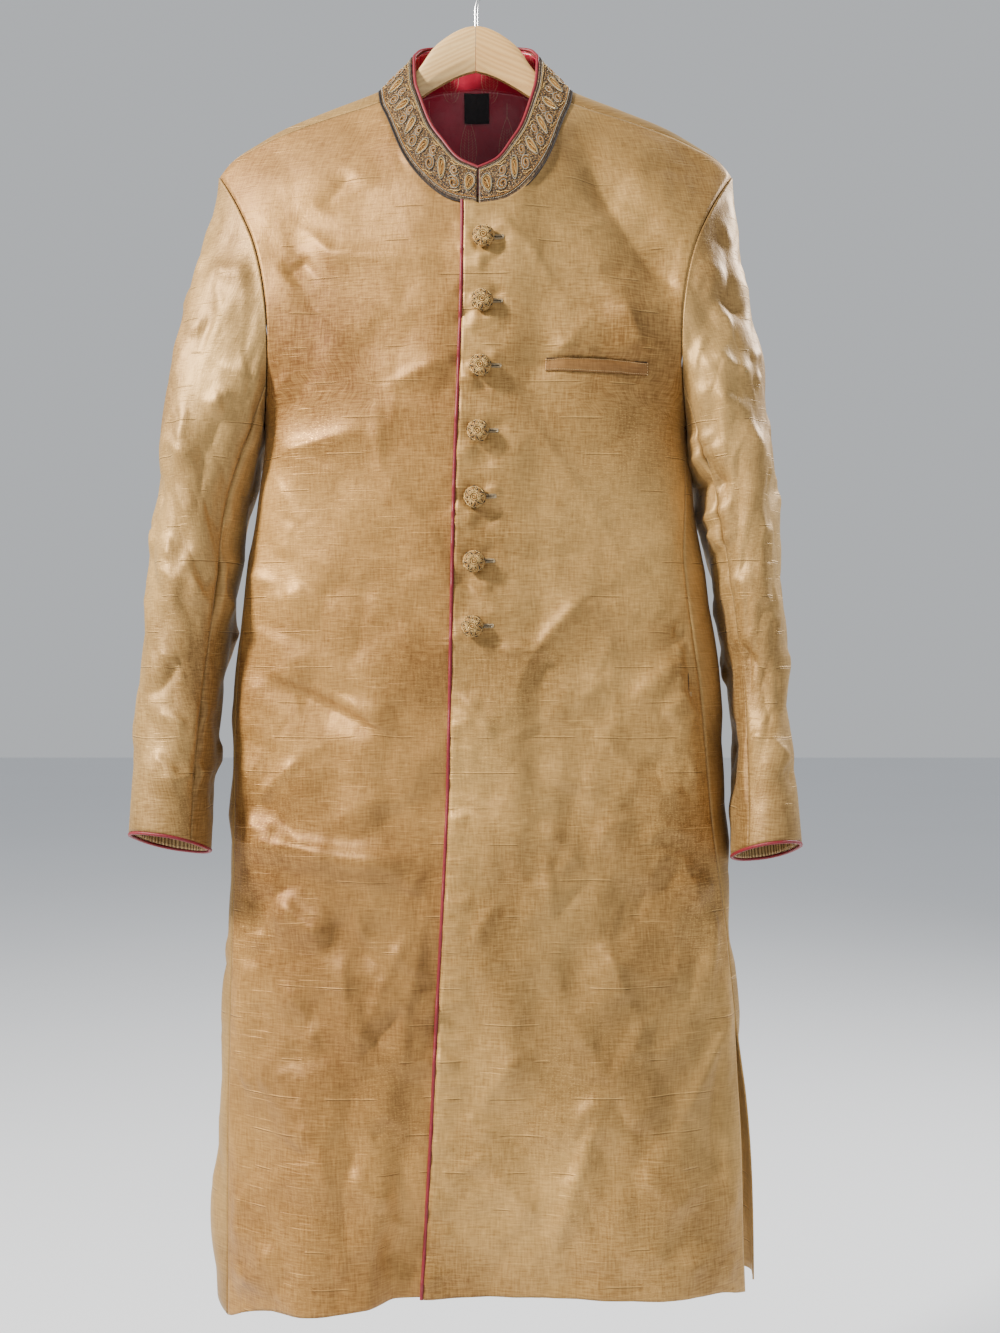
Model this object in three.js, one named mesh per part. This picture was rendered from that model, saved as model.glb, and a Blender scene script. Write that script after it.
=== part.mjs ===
// A sherwani: a long South Asian coat with a stand collar, hanging buttoned on its wooden hanger.
// Millimetres, +Z up. The coat's front faces -Y and +X is the wearer's left. The origin is the
// point inside the top of the steel hook, where a rail carries the hanger.

import * as THREE from 'three';

// ---------------------------------------------------------------- driving dimensions

const CLOTH = 1.6;            // thickness of shell cloth with its interlining
const TRIM_CLOTH = 1.2;       // thickness of lining, label and welt
const COLLAR_CLOTH = 2.6;     // thickness of the embroidered stand
const SEAM_GAP = 0.3;         // clear space between two sewn pieces
const OVERLAP_STEP = 3.2;     // how far the buttoned front lies ahead of the one under it
const UNDERLAP_X = 30;        // how far the lower front reaches past the centre line
const PIPING_RADIUS = 1.7;
const SHOULDER_TIP = { x: 251, z: -231 };
const UNDERARM_Z = -484;
const NECK_CORNER_X = 91;     // where the shoulder seam meets the neckline
const HEM_Z = -1292;
const BUTTON = { count: 7, firstZ: -315, pitch: 60, fromEdge: 18.5, radius: 9.8 };
const WELT = { left: 66, right: 162, bottom: -438, height: 11.5, droop: 1.8 };
const HOOK = {
  wire: 2.0, bend: 22, stemTop: -56, bottom: -78.1,
  from: -0.28, to: 1.16,      // half turns of the bend, from its mouth to its tip
  lengths: 44, sides: 8,
};
const SLEEVE_CLEAR = { top: 0.7, underarm: 1.4 };   // a sleeve head's room outside the armhole
const SLEEVE_SEAM_TURN = 0.003;                     // share of a turn between a sleeve's panels
const CUFF = { liningTop: 0.93, liningEnd: 0.985, pipingTop: 1.004, pipingEnd: 1.010, inset: 2.6 };
const COLLAR = { start: 0.08, liningStart: 0.14, bulge: 1.5, bulgeReach: 1.2, liningRoom: 0.8 };
const NECK_LINING = {
  falls: [4, 30, 62, 96], step: 12.5, inset: 3.2,   // rows below the neckline, and columns
  x: [0, 45, 72, 88], drop: [22, 18, 14, 8],        // the back neckline below the ridge
};
const LABEL = { z: [-134.5, -147, -160], x: [-12, 0.5, 13], ahead: 5.8, thickness: 0.8 };
const WELT_COLUMNS = 6;
const BUTTON_SIDES = 14;
const BUTTON_LIFT = 0.5;                            // room between a button's shank and the cloth

// Grid sizes, as quads across and down
const SHOULDER_STEPS = 7;      // along a shoulder seam
const NECK_STEPS = 6;          // along a quarter of the neckline
const PANEL_ROWS = { count: 25, power: 1.5 };   // down a front or the back, closer at the top
const RIDGE_ROWS = 2;          // the back's further rows, from the shoulder seam to the ridge
const SLEEVE_GRID = { around: 20, along: 16 };
const COLLAR_ROWS = 2;

// ---------------------------------------------------------------- short tables

// Body sections, the highest first: the side seams' x, the side's y, the depth of front and back
const BODY = {
  z: [-231, -300, -380, -440, -484, -560, -650, -745, -893, -1040, -1158, -1237, -1330],
  left: [-262, -240, -222, -209, -204, -213, -227, -235, -239, -244, -248, -250, -246],
  right: [262, 240, 222, 209, 205, 214, 229, 240, 245, 253, 264, 267, 267],
  side: [0, -2, -4, -5, -6, -8, -10, -14, -18, -22, -27, -31, -35],
  front: [60, 80, 88, 90, 90, 86, 82, 80, 78, 78, 78, 78, 78],
  back: [55, 66, 70, 70, 68, 62, 56, 52, 50, 50, 50, 50, 50],
};
const BODY_POWER = 2.8;       // a section's squareness: 2 is an ellipse

// The shoulder ridge: height over the distance from the centre
const RIDGE = {
  x: [0, 45, 92, 143, 187, 215, 240, 254, 330],
  z: [-108, -119, -143, -163, -181, -197, -214, -232, -330],
};
const RIDGE_ROUND = 14;       // radius of the fold of cloth over the ridge

// Armhole: height, and how far out the front and the back panel's edges are
const ARMHOLE = {
  z: [-484, -470, -447, -415, -380, -340, -305, -271, -250, -231],
  front: [204, 201, 197, 194.5, 195, 201, 211, 227, 239, 251],
  back: [204, 203.4, 205, 208.5, 213, 220, 229, 240, 246, 251],
};

// Neckline from the centre back to the centre front: x, and the drop below the ridge, which is
// counted as negative once the line is on the front. Then the collar's top edge at each place.
const NECK = {
  x: [0, 45, 72, 88, 92.5, 91, 83, 68, 50, 28, 0],
  drop: [22, 18, 14, 8, 0, -20, -46, -97, -135, -161, -173],
  topX: [0, 36, 53, 60, 62.5, 61, 57, 46, 34, 20, 0],
  topY: [26, 24, 18, 10, 0, -16, -28, -50, -63, -72, -76],
  topZ: [-91, -92, -96, -103, -112, -138, -156, -192, -214, -234, -245],
};
const NECK_LEAN = 3.5;        // the collar's front sits this far to the wearer's left
const COLLAR_END = 0.997;     // the stand's two ends stop just short of each other
const NECK_CORNER = 0.5;      // how far along that table the shoulder seam meets the neckline
const NECK_END = { over: 1.045, under: 1.1 };   // each front's neckline runs past the centre

// Shoulder seam, ahead of the ridge: x, and the drop below the ridge on the front
const SHOULDER_SEAM = {
  x: [91, 115, 145, 180, 215, 251],
  drop: [-20, -18, -15, -13, -8, 0],
};

// The buttoned front's edge: height and x
const FRONT_EDGE = {
  z: [-1300, -1171, -1022, -929, -836, -743, -548, -441, -283],
  x: [-46.5, -39, -32, -27, -23, -21, -17, -13, -9],
};

// Side seams: how far ahead of the side the front panel ends and the back panel begins.
// Below the vent's top at the wearer's left, the two edges part.
const SIDE_SEAM = {
  z: [-1330, -1237, -1120, -1045, -1035, -950, -850, -740, -620, -560, -484],
  frontLeft: [12, 15, 11, 6, 6.2, 10, 20, 26, 26, 14, 0.02],
  backLeft: [1, 0.5, 2, 6, 6.2, 10, 20, 26, 26, 14, 0.02],
  frontRight: [16, 20, 15, 13.1, 13, 11, 9, 7, 6, 4, 0.02],
  backRight: [16, 20, 15, 13.1, 13, 11, 9, 7, 6, 4, 0.02],
};

// Hem: height along x
const HEM = {
  x: [-250, -236, -208, -165, -110, -80, -45, 42, 115, 190, 230, 268],
  front: [-1318, -1316, -1308, -1299, -1296, -1293, -1290, -1285, -1286, -1289, -1296, -1301],
};
const BACK_HEM_Z = -1300;
const SEAM_SHARE = 0.0022;     // half a side seam's gap, in sideShare's measure

// The skirt's two forward swells: centre x, half width, how far out, the height where each starts
const SWELLS = [
  { x: 150, width: 62, out: 24, top: -900 },
  { x: -140, width: 52, out: 34, top: -900 },
];
// The lower front falls back behind a fold: its line at two heights, and its reach
const FALL_BACK = { topX: -62, topZ: -1030, lowX: -84, lowZ: -1290, reach: 13 };

// Largest folds of the fronts: from (x1, z1) to (x2, z2), half width, and rise (a trough is negative)
const FRONT_FOLDS = [
  { x1: 92, z1: -200, x2: 190, z2: -350, width: 17, rise: -8 },
  { x1: 130, z1: -350, x2: 158, z2: -425, width: 14, rise: 4 },
  { x1: 36, z1: -440, x2: 150, z2: -630, width: 20, rise: -5 },
  { x1: -212, z1: -712, x2: -48, z2: -790, width: 12, rise: -6 },
  { x1: -208, z1: -880, x2: -52, z2: -900, width: 11, rise: 5 },
  { x1: -186, z1: -930, x2: -134, z2: -968, width: 12, rise: 5 },
  { x1: 226, z1: -1040, x2: 172, z2: -1145, width: 15, rise: -7 },
  { x1: -182, z1: -300, x2: -70, z2: -420, width: 18, rise: -4 },
];
const BACK_FOLDS = [
  { x1: -150, z1: -260, x2: -60, z2: -430, width: 20, rise: -5 },
  { x1: 150, z1: -270, x2: 70, z2: -450, width: 20, rise: -5 },
  { x1: -90, z1: -700, x2: -110, z2: -1290, width: 26, rise: 7 },
  { x1: 100, z1: -760, x2: 120, z2: -1290, width: 26, rise: 7 },
  { x1: 10, z1: -640, x2: 4, z2: -1290, width: 30, rise: -6 },
];

// Sleeves: outline seen from the front (outer and inner x), the centre's y and half depth
const SLEEVE_RIGHT = {
  z: [-900, -873, -796, -729, -656, -558, -460, -398, -357, -326, -287, -257, -231],
  outer: [324, 324, 323.5, 321, 317, 310, 303, 294, 289, 283, 277, 270, 258],
  inner: [250.5, 250.5, 250, 244.5, 235.5, 225, 210, 200, 196, 196, 200, 205, 215],
  y: [-72, -67, -45, -30, -20, -10, -6, -5, -4, -4, -3, -2, -1],
  depth: [49, 49, 54, 58, 62, 68, 73, 74, 73, 70, 60, 46, 25],
};
const SLEEVE_LEFT = {
  z: [-900, -882, -807, -729, -663, -568, -490, -460, -398, -357, -326, -287, -257, -231],
  outer: [307, 306, 303, 299.5, 297.5, 291, 285, 282, 277, 271, 268, 264, 260, 256],
  inner: [243, 243, 247.5, 246, 237.5, 223.5, 213, 211, 200, 198, 196, 200, 205, 215],
  y: [-76, -72, -50, -30, -20, -11, -7, -6, -5, -4, -4, -3, -2, -1],
  depth: [51, 52, 57, 61, 68, 76, 80, 80, 80, 77, 73, 62, 48, 26],
};
const SLEEVE_POWER = 2.2;
const CUFF_RIGHT = { z: -877, frontRise: 12.5, outerRise: 6 };
const CUFF_LEFT = { z: -884, frontRise: 13.5, outerRise: 4 };
const CAP_END = 0.32;         // how far down the sleeve the armhole's shape still tells
const UNDER_SLEEVE = { from: 0.37, to: 0.70 };   // the under sleeve's share of the way round

// Hanger arm: x, top, bottom and half thickness
const ARM = {
  x: [0.2, 12, 26, 42, 56, 74, 92, 143, 187, 216, 236],
  top: [-78.5, -81, -88, -101, -121, -139, -154, -173, -191, -207, -223],
  bottom: [-123, -126, -132, -141, -150, -160, -171, -192, -210, -225, -233],
  half: [7, 7, 7, 7, 7, 7, 7, 7.5, 8, 8, 6],
};

// ---------------------------------------------------------------- reading tables and shaping

const clamp = (value, low, high) => Math.min(high, Math.max(low, value));
const mix = (a, b, t) => a + (b - a) * t;

function smooth(low, high, value) {
  const t = clamp((value - low) / (high - low), 0, 1);
  return t * t * (3 - 2 * t);
}

// A smooth curve through a table's column, which runs either way along its key column
function read(keys, values, key) {
  const n = keys.length;
  const way = Math.sign(keys[n - 1] - keys[0]);
  let i = 0;
  while (i < n - 2 && (key - keys[i + 1]) * way > 0) i += 1;
  const span = keys[i + 1] - keys[i];
  const t = clamp((key - keys[i]) / span, 0, 1);
  const slope = (k) => {
    const a = Math.max(0, k - 1);
    const b = Math.min(n - 1, k + 1);
    return (values[b] - values[a]) / (keys[b] - keys[a]);
  };
  const m0 = slope(i) * span;
  const m1 = slope(i + 1) * span;
  const t2 = t * t;
  const t3 = t2 * t;
  return (2 * t3 - 3 * t2 + 1) * values[i] + (t3 - 2 * t2 + t) * m0
    + (3 * t2 - 2 * t3) * values[i + 1] + (t3 - t2) * m1;
}

// The same, along a table whose rows are evenly spaced from 0 to 1
function along(values, share) {
  return read(values.map((_, i) => i / (values.length - 1)), values, share);
}

const ridgeZ = (x) => read(RIDGE.x, RIDGE.z, Math.abs(x));

// A fold's rise at a point: a soft bump across its line that fades at both ends
function foldRise(fold, x, z) {
  const dx = fold.x2 - fold.x1;
  const dz = fold.z2 - fold.z1;
  const length = Math.hypot(dx, dz);
  const share = ((x - fold.x1) * dx + (z - fold.z1) * dz) / (length * length);
  const off = ((x - fold.x1) * dz - (z - fold.z1) * dx) / length;
  const ends = smooth(-0.12, 0.2, share) * (1 - smooth(0.8, 1.12, share));
  return fold.rise * ends * Math.exp(-0.5 * (off / fold.width) ** 2);
}

function section(z) {
  const left = read(BODY.z, BODY.left, z);
  const right = read(BODY.z, BODY.right, z);
  return {
    centre: (left + right) / 2,
    half: (right - left) / 2,
    side: read(BODY.z, BODY.side, z),
    front: read(BODY.z, BODY.front, z),
    back: read(BODY.z, BODY.back, z),
  };
}

// How deep a section is at x, as a share of its depth at the centre
function roundness(s, x) {
  const share = clamp(Math.abs(x - s.centre) / s.half, 0, 1);
  return (1 - share ** BODY_POWER) ** (1 / BODY_POWER);
}

// Depth of the yoke below the ridge: the round fold over it, then the fall of the cloth
function yokeDepth(x, z, reach, length, power) {
  const drop = Math.max(0, ridgeZ(x) - z);
  const turn = 1 - Math.min(drop, RIDGE_ROUND) / RIDGE_ROUND;
  const fall = reach * (1 - Math.exp(-((drop / length) ** power)));
  return RIDGE_ROUND * Math.sqrt(1 - turn * turn) + fall;
}

function hemSwell(x, z) {
  const [over, under] = SWELLS.map((s) => s.out * smooth(s.top, HEM_Z, z)
    * Math.exp(-0.5 * ((x - s.x) / s.width) ** 2));
  const line = mix(FALL_BACK.topX, FALL_BACK.lowX,
    (z - FALL_BACK.topZ) / (FALL_BACK.lowZ - FALL_BACK.topZ));
  const kept = 1 - smooth(line - FALL_BACK.reach, line + FALL_BACK.reach, x);
  return over + under * mix(1, kept, smooth(FALL_BACK.topZ + 60, FALL_BACK.lowZ + 120, z));
}

function frontY(x, z) {
  const s = section(z);
  const ring = s.side - s.front * roundness(s, x);
  const yoke = -yokeDepth(x, z, 84 - 16 * (x / 200) ** 2, 95, 1.3);
  const folds = FRONT_FOLDS.reduce((sum, fold) => sum + foldRise(fold, x, z), 0);
  const open = roundness(s, x) ** 0.5;
  return mix(ring, yoke, smooth(-500, -370, z)) - (folds + hemSwell(x, z)) * open;
}

function backY(x, z) {
  const s = section(z);
  const ring = s.side + s.back * roundness(s, x);
  const yoke = yokeDepth(x, z, 56 - 12 * (x / 200) ** 2, 60, 1.1);
  const folds = BACK_FOLDS.reduce((sum, fold) => sum + foldRise(fold, x, z), 0);
  return mix(ring, yoke, smooth(-500, -370, z)) + folds * roundness(s, x) ** 0.5;
}

// A point of the body. face is -1 on the front and +1 on the back.
function bodyPoint(x, z, face) {
  return new THREE.Vector3(x, face < 0 ? frontY(x, z) : backY(x, z), z);
}

// ---------------------------------------------------------------- closed walls from grids

function outwardNormals(grid, closed) {
  const rows = grid.length;
  const cols = grid[0].length;
  return grid.map((row, i) => row.map((point, j) => {
    const up = grid[Math.max(0, i - 1)][j];
    const down = grid[Math.min(rows - 1, i + 1)][j];
    const before = closed ? row[(j + cols - 1) % cols] : row[Math.max(0, j - 1)];
    const after = closed ? row[(j + 1) % cols] : row[Math.min(cols - 1, j + 1)];
    return new THREE.Vector3().crossVectors(
      new THREE.Vector3().subVectors(after, before),
      new THREE.Vector3().subVectors(down, up),
    ).normalize();
  }));
}

function moved(grid, normals, distance) {
  return grid.map((row, i) => row.map((p, j) => p.clone().addScaledVector(normals[i][j], distance)));
}

function closedSolid(points, faces) {
  const positions = faces.flatMap((face) => face.flatMap((k) => points[k].toArray()));
  let volume = 0;
  for (const [a, b, c] of faces) {
    volume += points[a].dot(new THREE.Vector3().crossVectors(points[b], points[c]));
  }
  if (volume < 0) {
    for (let k = 0; k < positions.length; k += 9) {
      for (let axis = 0; axis < 3; axis += 1) {
        const kept = positions[k + 3 + axis];
        positions[k + 3 + axis] = positions[k + 6 + axis];
        positions[k + 6 + axis] = kept;
      }
    }
  }
  const geometry = new THREE.BufferGeometry();
  geometry.setAttribute('position', new THREE.Float32BufferAttribute(positions, 3));
  return geometry;
}

// A wall of even thickness on a grid of points. A closed wall runs right round, like a tube.
function wall(grid, thickness, closed = false, normals = outwardNormals(grid, closed)) {
  const rows = grid.length;
  const cols = grid[0].length;
  const outer = moved(grid, normals, thickness / 2);
  const inner = moved(grid, normals, -thickness / 2);
  const points = [...outer.flat(), ...inner.flat()];
  const id = (side, i, j) => side * rows * cols + i * cols + (j % cols);
  const faces = [];
  const quad = (a, b, c, d) => faces.push([a, b, c], [a, c, d]);
  const steps = closed ? cols : cols - 1;
  for (let i = 0; i < rows - 1; i += 1) {
    for (let j = 0; j < steps; j += 1) {
      quad(id(0, i, j), id(0, i + 1, j), id(0, i + 1, j + 1), id(0, i, j + 1));
      quad(id(1, i, j), id(1, i, j + 1), id(1, i + 1, j + 1), id(1, i + 1, j));
    }
  }
  for (let j = 0; j < steps; j += 1) {
    quad(id(0, 0, j), id(0, 0, j + 1), id(1, 0, j + 1), id(1, 0, j));
    quad(id(0, rows - 1, j + 1), id(0, rows - 1, j), id(1, rows - 1, j), id(1, rows - 1, j + 1));
  }
  if (!closed) {
    for (let i = 0; i < rows - 1; i += 1) {
      quad(id(0, i + 1, 0), id(0, i, 0), id(1, i, 0), id(1, i + 1, 0));
      quad(id(0, i, cols - 1), id(0, i + 1, cols - 1), id(1, i + 1, cols - 1), id(1, i, cols - 1));
    }
  }
  return closedSolid(points, faces);
}

// A round cord sewn along an edge, with one ring at each of the edge's points
function beading(path, radius, sides) {
  const points = [];
  const faces = [];
  let across = new THREE.Vector3(0, 1, 0);
  path.forEach((p, i) => {
    const before = path[Math.max(0, i - 1)];
    const after = path[Math.min(path.length - 1, i + 1)];
    const ahead = new THREE.Vector3().subVectors(after, before).normalize();
    across = across.clone().addScaledVector(ahead, -across.dot(ahead)).normalize();
    const up = new THREE.Vector3().crossVectors(ahead, across);
    for (let k = 0; k < sides; k += 1) {
      const angle = (2 * Math.PI * k) / sides;
      points.push(p.clone().addScaledVector(across, radius * Math.cos(angle))
        .addScaledVector(up, radius * Math.sin(angle)));
      if (i > 0) {
        const a = (i - 1) * sides;
        const b = i * sides;
        const next = (k + 1) % sides;
        faces.push([a + k, b + k, b + next], [a + k, b + next, a + next]);
      }
    }
  });
  const last = (path.length - 1) * sides;
  for (let k = 1; k < sides - 1; k += 1) {
    faces.push([0, k, k + 1], [last, last + k + 1, last + k]);
  }
  return closedSolid(points, faces);
}

// A round bar along a smooth path
function bar(points, radius, steps, sides) {
  const outline = new THREE.Shape();
  for (let k = 0; k < sides; k += 1) {
    const angle = (2 * Math.PI * k) / sides;
    outline[k ? 'lineTo' : 'moveTo'](radius * Math.cos(angle), radius * Math.sin(angle));
  }
  outline.closePath();
  const path = new THREE.CatmullRomCurve3(points, false, 'centripetal');
  return new THREE.ExtrudeGeometry(outline, { steps, extrudePath: path, bevelEnabled: false });
}

// ---------------------------------------------------------------- the garment's edges

function armholeX(z, face) {
  const depth = clamp(z, UNDERARM_Z, SHOULDER_TIP.z);
  return read(ARMHOLE.z, face < 0 ? ARMHOLE.front : ARMHOLE.back, depth);
}

// Where a panel's side edge is at a height, as the share k along the section: X = 1 - k * k of
// the half width, ahead of the side where k is below 0 and behind it where k is above 0
function sideShare(side, z, face) {
  const s = section(z);
  if (z > UNDERARM_Z) {
    const left = clamp(1 - (armholeX(z, face) - side * s.centre) / s.half, 0, 1);
    return face * (Math.sqrt(left) + 0.0005);
  }
  const column = (face < 0 ? 'front' : 'back') + (side > 0 ? 'Left' : 'Right');
  const share = Math.sqrt(read(SIDE_SEAM.z, SIDE_SEAM[column], z) / s.half);
  return -share + face * SEAM_SHARE;
}

// A place on the neckline, from the centre back (0) past the centre front (1), as the side's own
// x and the drop below the ridge
function neckline(side, share) {
  const past = share > 1;
  const t = past ? 2 - share : share;
  const x = along(NECK.x, t) * (past ? -1 : 1);
  return { x: x + side * NECK_LEAN * smooth(NECK_CORNER, 1, t), drop: along(NECK.drop, t) };
}

// A place on the shoulder seam, from the neckline (0) to the sleeve (1)
function shoulderSeam(share) {
  const x = mix(NECK_CORNER_X, SHOULDER_TIP.x, share);
  return { x, drop: read(SHOULDER_SEAM.x, SHOULDER_SEAM.drop, x) };
}

// The side's own x on a row of a panel. The row starts at the top edge's x, spreads to the body's
// own spacing as it goes down, and ends on the armhole or the side seam.
function rowX(side, top, z, k, edgeK, share, settled) {
  const s = section(z);
  const own = (value) => side * s.centre + s.half * (1 - value * value);
  const pull = (1 - settled) * (own(edgeK) - SHOULDER_TIP.x) * share ** 3;
  return mix(top.x, own(k), settled) + pull;
}

// How far down a panel one of its rows is
const panelFall = (row) => (row / PANEL_ROWS.count) ** PANEL_ROWS.power;

function frontEdgeX(side, z) {
  return side > 0 ? read(FRONT_EDGE.z, FRONT_EDGE.x, z) : UNDERLAP_X;
}

// A point of a front panel: share runs from its front edge (0) to its side (1), v from top to hem.
// side is +1 for the wearer's left, which is over, and -1 for the one under it.
function frontPoint(side, top, share, v) {
  const topZ = ridgeZ(top.x) + top.drop;
  const lowX = mix(side * frontEdgeX(side, HEM_Z), 250, share);
  const z = mix(topZ, read(HEM.x, HEM.front, side * lowX), v);
  const s = section(z);
  const edgeK = sideShare(side, z, -1);
  const frontShare = side * (frontEdgeX(side, z) - s.centre) / s.half;
  const k = mix(-Math.sqrt(1 - frontShare), edgeK, share);
  const x = rowX(side, top, z, k, edgeK, share, smooth(0, 0.16, v));
  const point = bodyPoint(side * x, z, -1);
  point.y -= side > 0 ? OVERLAP_STEP * (1 - smooth(34, 64, x)) : 0;
  return point;
}

// One front panel as a grid
function frontGrid(side) {
  const end = side > 0 ? NECK_END.over : NECK_END.under;
  const tops = [neckline(side, end)];
  for (let j = NECK_STEPS; j >= 0; j -= 1) {
    tops.push(neckline(side, mix(NECK_CORNER, 1, j / NECK_STEPS)));
  }
  for (let j = 1; j <= SHOULDER_STEPS; j += 1) tops.push(shoulderSeam(j / SHOULDER_STEPS));
  const grid = [];
  for (let i = 0; i <= PANEL_ROWS.count; i += 1) {
    grid.push(tops.map((top, j) => frontPoint(side, top, j / (tops.length - 1), panelFall(i))));
  }
  return grid;
}

// A point of the back: share runs from the centre (0) to the side (1), row from the top to the hem
function backPoint(side, top, share, row) {
  const v = panelFall(Math.max(0, row - RIDGE_ROWS));
  const start = top.drop > 0 ? top.drop + 4 : 0;
  const hemZ = mix(BACK_HEM_Z, read(HEM.x, HEM.front, side * 250), share ** 4);
  const drop = row < RIDGE_ROWS
    ? mix(top.drop + SEAM_GAP, start, (row / RIDGE_ROWS) ** 0.7)
    : mix(start, ridgeZ(top.x) - hemZ, v);
  const z = ridgeZ(top.x) - Math.abs(drop);
  const edgeK = sideShare(side, z, 1);
  const k = mix(1, edgeK, share);
  const x = rowX(side, top, z, k, edgeK, share, smooth(0, 0.16, v));
  return bodyPoint(side * x, z, drop < 0 || k < 0 ? -1 : 1);
}

// The back as a grid, from the wearer's right side seam round to the left
function backGrid() {
  const steps = NECK_STEPS + SHOULDER_STEPS;
  const grid = [];
  for (let i = 0; i <= PANEL_ROWS.count + RIDGE_ROWS; i += 1) {
    const row = [];
    for (let j = -steps; j <= steps; j += 1) {
      const side = j < 0 ? -1 : 1;
      const step = Math.abs(j);
      const top = step <= NECK_STEPS ? neckline(side, NECK_CORNER * step / NECK_STEPS)
        : shoulderSeam((step - NECK_STEPS) / SHOULDER_STEPS);
      row.push(backPoint(side, top, step / steps, i));
    }
    grid.push(row);
  }
  return grid;
}

// ---------------------------------------------------------------- sleeves

function armholePoint(side, turn) {
  const down = (1 - Math.cos(2 * Math.PI * turn)) / 2;
  const z = mix(SHOULDER_TIP.z, UNDERARM_Z, down);
  const face = turn % 1 < 0.5 ? -1 : 1;
  return bodyPoint(side * armholeX(z, face), z, face);
}

// A point of a sleeve. turn goes once round from the outer side by the front; v runs down it.
function sleevePoint(side, turn, v, inwards = 0) {
  const table = side > 0 ? SLEEVE_LEFT : SLEEVE_RIGHT;
  const cuff = side > 0 ? CUFF_LEFT : CUFF_RIGHT;
  const angle = 2 * Math.PI * (turn % 1);
  const outerShare = (1 + Math.cos(angle)) / 2;
  const endZ = cuff.z + cuff.frontRise * Math.sin(angle) + cuff.outerRise * Math.cos(angle);
  const startZ = mix(UNDERARM_Z, SHOULDER_TIP.z, outerShare);
  const z = mix(startZ, endZ, v);
  const outer = read(table.z, table.outer, z) - inwards;
  const inner = read(table.z, table.inner, z) + inwards;
  const depth = read(table.z, table.depth, z) - inwards;
  const power = 2 / SLEEVE_POWER;
  const across = Math.sign(Math.cos(angle)) * Math.abs(Math.cos(angle)) ** power;
  const ahead = Math.sign(Math.sin(angle)) * Math.abs(Math.sin(angle)) ** power;
  const x = side * ((outer + inner) / 2 + ((outer - inner) / 2) * across);
  const ring = new THREE.Vector3(x, read(table.z, table.y, z) - depth * ahead, z);
  const spread = 1 - (1 - clamp(v / CAP_END, 0, 1)) ** 2;
  const point = armholePoint(side, turn).lerp(ring, spread);
  point.z = z;
  const room = SLEEVE_CLEAR.top + SLEEVE_CLEAR.underarm * (1 - outerShare) ** 3;
  const clear = (SEAM_GAP + room) * (1 - spread);
  point.x += side * clear;
  return point;
}

function sleeveNormal(side, turn, v) {
  const [low, high] = [Math.max(0, v - 0.01), v + 0.01];
  return new THREE.Vector3().crossVectors(
    new THREE.Vector3().subVectors(sleevePoint(side, turn + 0.004, v), sleevePoint(side, turn - 0.004, v)),
    new THREE.Vector3().subVectors(sleevePoint(side, turn, high), sleevePoint(side, turn, low)),
  ).normalize();
}

// One of a sleeve's two panels
function sleevePanel(side, from, to, steps) {
  const each = (make) => {
    const grid = [];
    for (let i = 0; i <= SLEEVE_GRID.along; i += 1) {
      const v = (i / SLEEVE_GRID.along) ** 1.15;
      const row = [];
      for (let j = 0; j <= steps; j += 1) row.push(make(side, mix(from, to, j / steps), v));
      grid.push(row);
    }
    return grid;
  };
  return wall(each(sleevePoint), CLOTH, false, each(sleeveNormal));
}

function cuffRing(side, v, inwards, steps) {
  const ring = [];
  for (let j = 0; j < steps; j += 1) ring.push(sleevePoint(side, j / steps, v, inwards));
  return ring;
}

// ---------------------------------------------------------------- collar

// A point of the collar: share runs from the centre back (0) to the centre front (1), up from
// the neckline (0) to the top edge (1)
function collarPoint(side, share, up) {
  const { x, drop } = neckline(side, share);
  const foot = bodyPoint(side * x, ridgeZ(x) - Math.abs(drop), drop < 0 ? -1 : 1);
  const lean = NECK_LEAN * smooth(NECK_CORNER, 1, share);
  const top = new THREE.Vector3(along(NECK.topX, share) * side + lean,
    along(NECK.topY, share), along(NECK.topZ, share));
  const point = foot.lerp(top, mix(COLLAR.start, 1, up));
  const bulge = Math.sin(Math.PI * up) * COLLAR.bulge;
  point.x += side * bulge * Math.sin(Math.PI * Math.min(1, share * COLLAR.bulgeReach));
  point.y -= bulge * Math.cos(Math.PI * (1 - share));
  return point;
}

// The stand as a grid from the front, round the back, to the front; foot is its lowest row
function collarGrid(foot) {
  const halfAround = 2 * NECK_STEPS;
  const grid = [];
  for (let i = 0; i <= COLLAR_ROWS; i += 1) {
    const row = [];
    for (let j = -halfAround; j <= halfAround; j += 1) {
      const share = Math.min(Math.abs(j) / halfAround, COLLAR_END);
      row.push(collarPoint(j < 0 ? -1 : 1, share, mix(1, foot, i / COLLAR_ROWS)));
    }
    grid.push(row);
  }
  return grid;
}

// ---------------------------------------------------------------- hanger

function armGeometry(side) {
  const rings = ARM.x.map((x, i) => {
    const top = ARM.top[i];
    const bottom = ARM.bottom[i];
    const half = ARM.half[i];
    const profile = [[-0.45, 0], [-1, 0.12], [-1, 0.84], [-0.5, 1], [0.5, 1], [1, 0.84], [1, 0.12],
      [0.45, 0]];
    return profile.map(([y, up]) => new THREE.Vector3(side * x, y * half, mix(bottom, top, up)));
  });
  const count = rings[0].length;
  const points = rings.flat();
  const faces = [];
  for (let i = 0; i < rings.length - 1; i += 1) {
    for (let j = 0; j < count; j += 1) {
      const next = (j + 1) % count;
      const a = i * count;
      const b = (i + 1) * count;
      faces.push([a + j, b + j, b + next], [a + j, b + next, a + next]);
    }
  }
  const last = (rings.length - 1) * count;
  for (let j = 1; j < count - 1; j += 1) {
    faces.push([0, j, j + 1], [last, last + j + 1, last + j]);
  }
  return closedSolid(points, faces);
}

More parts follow.
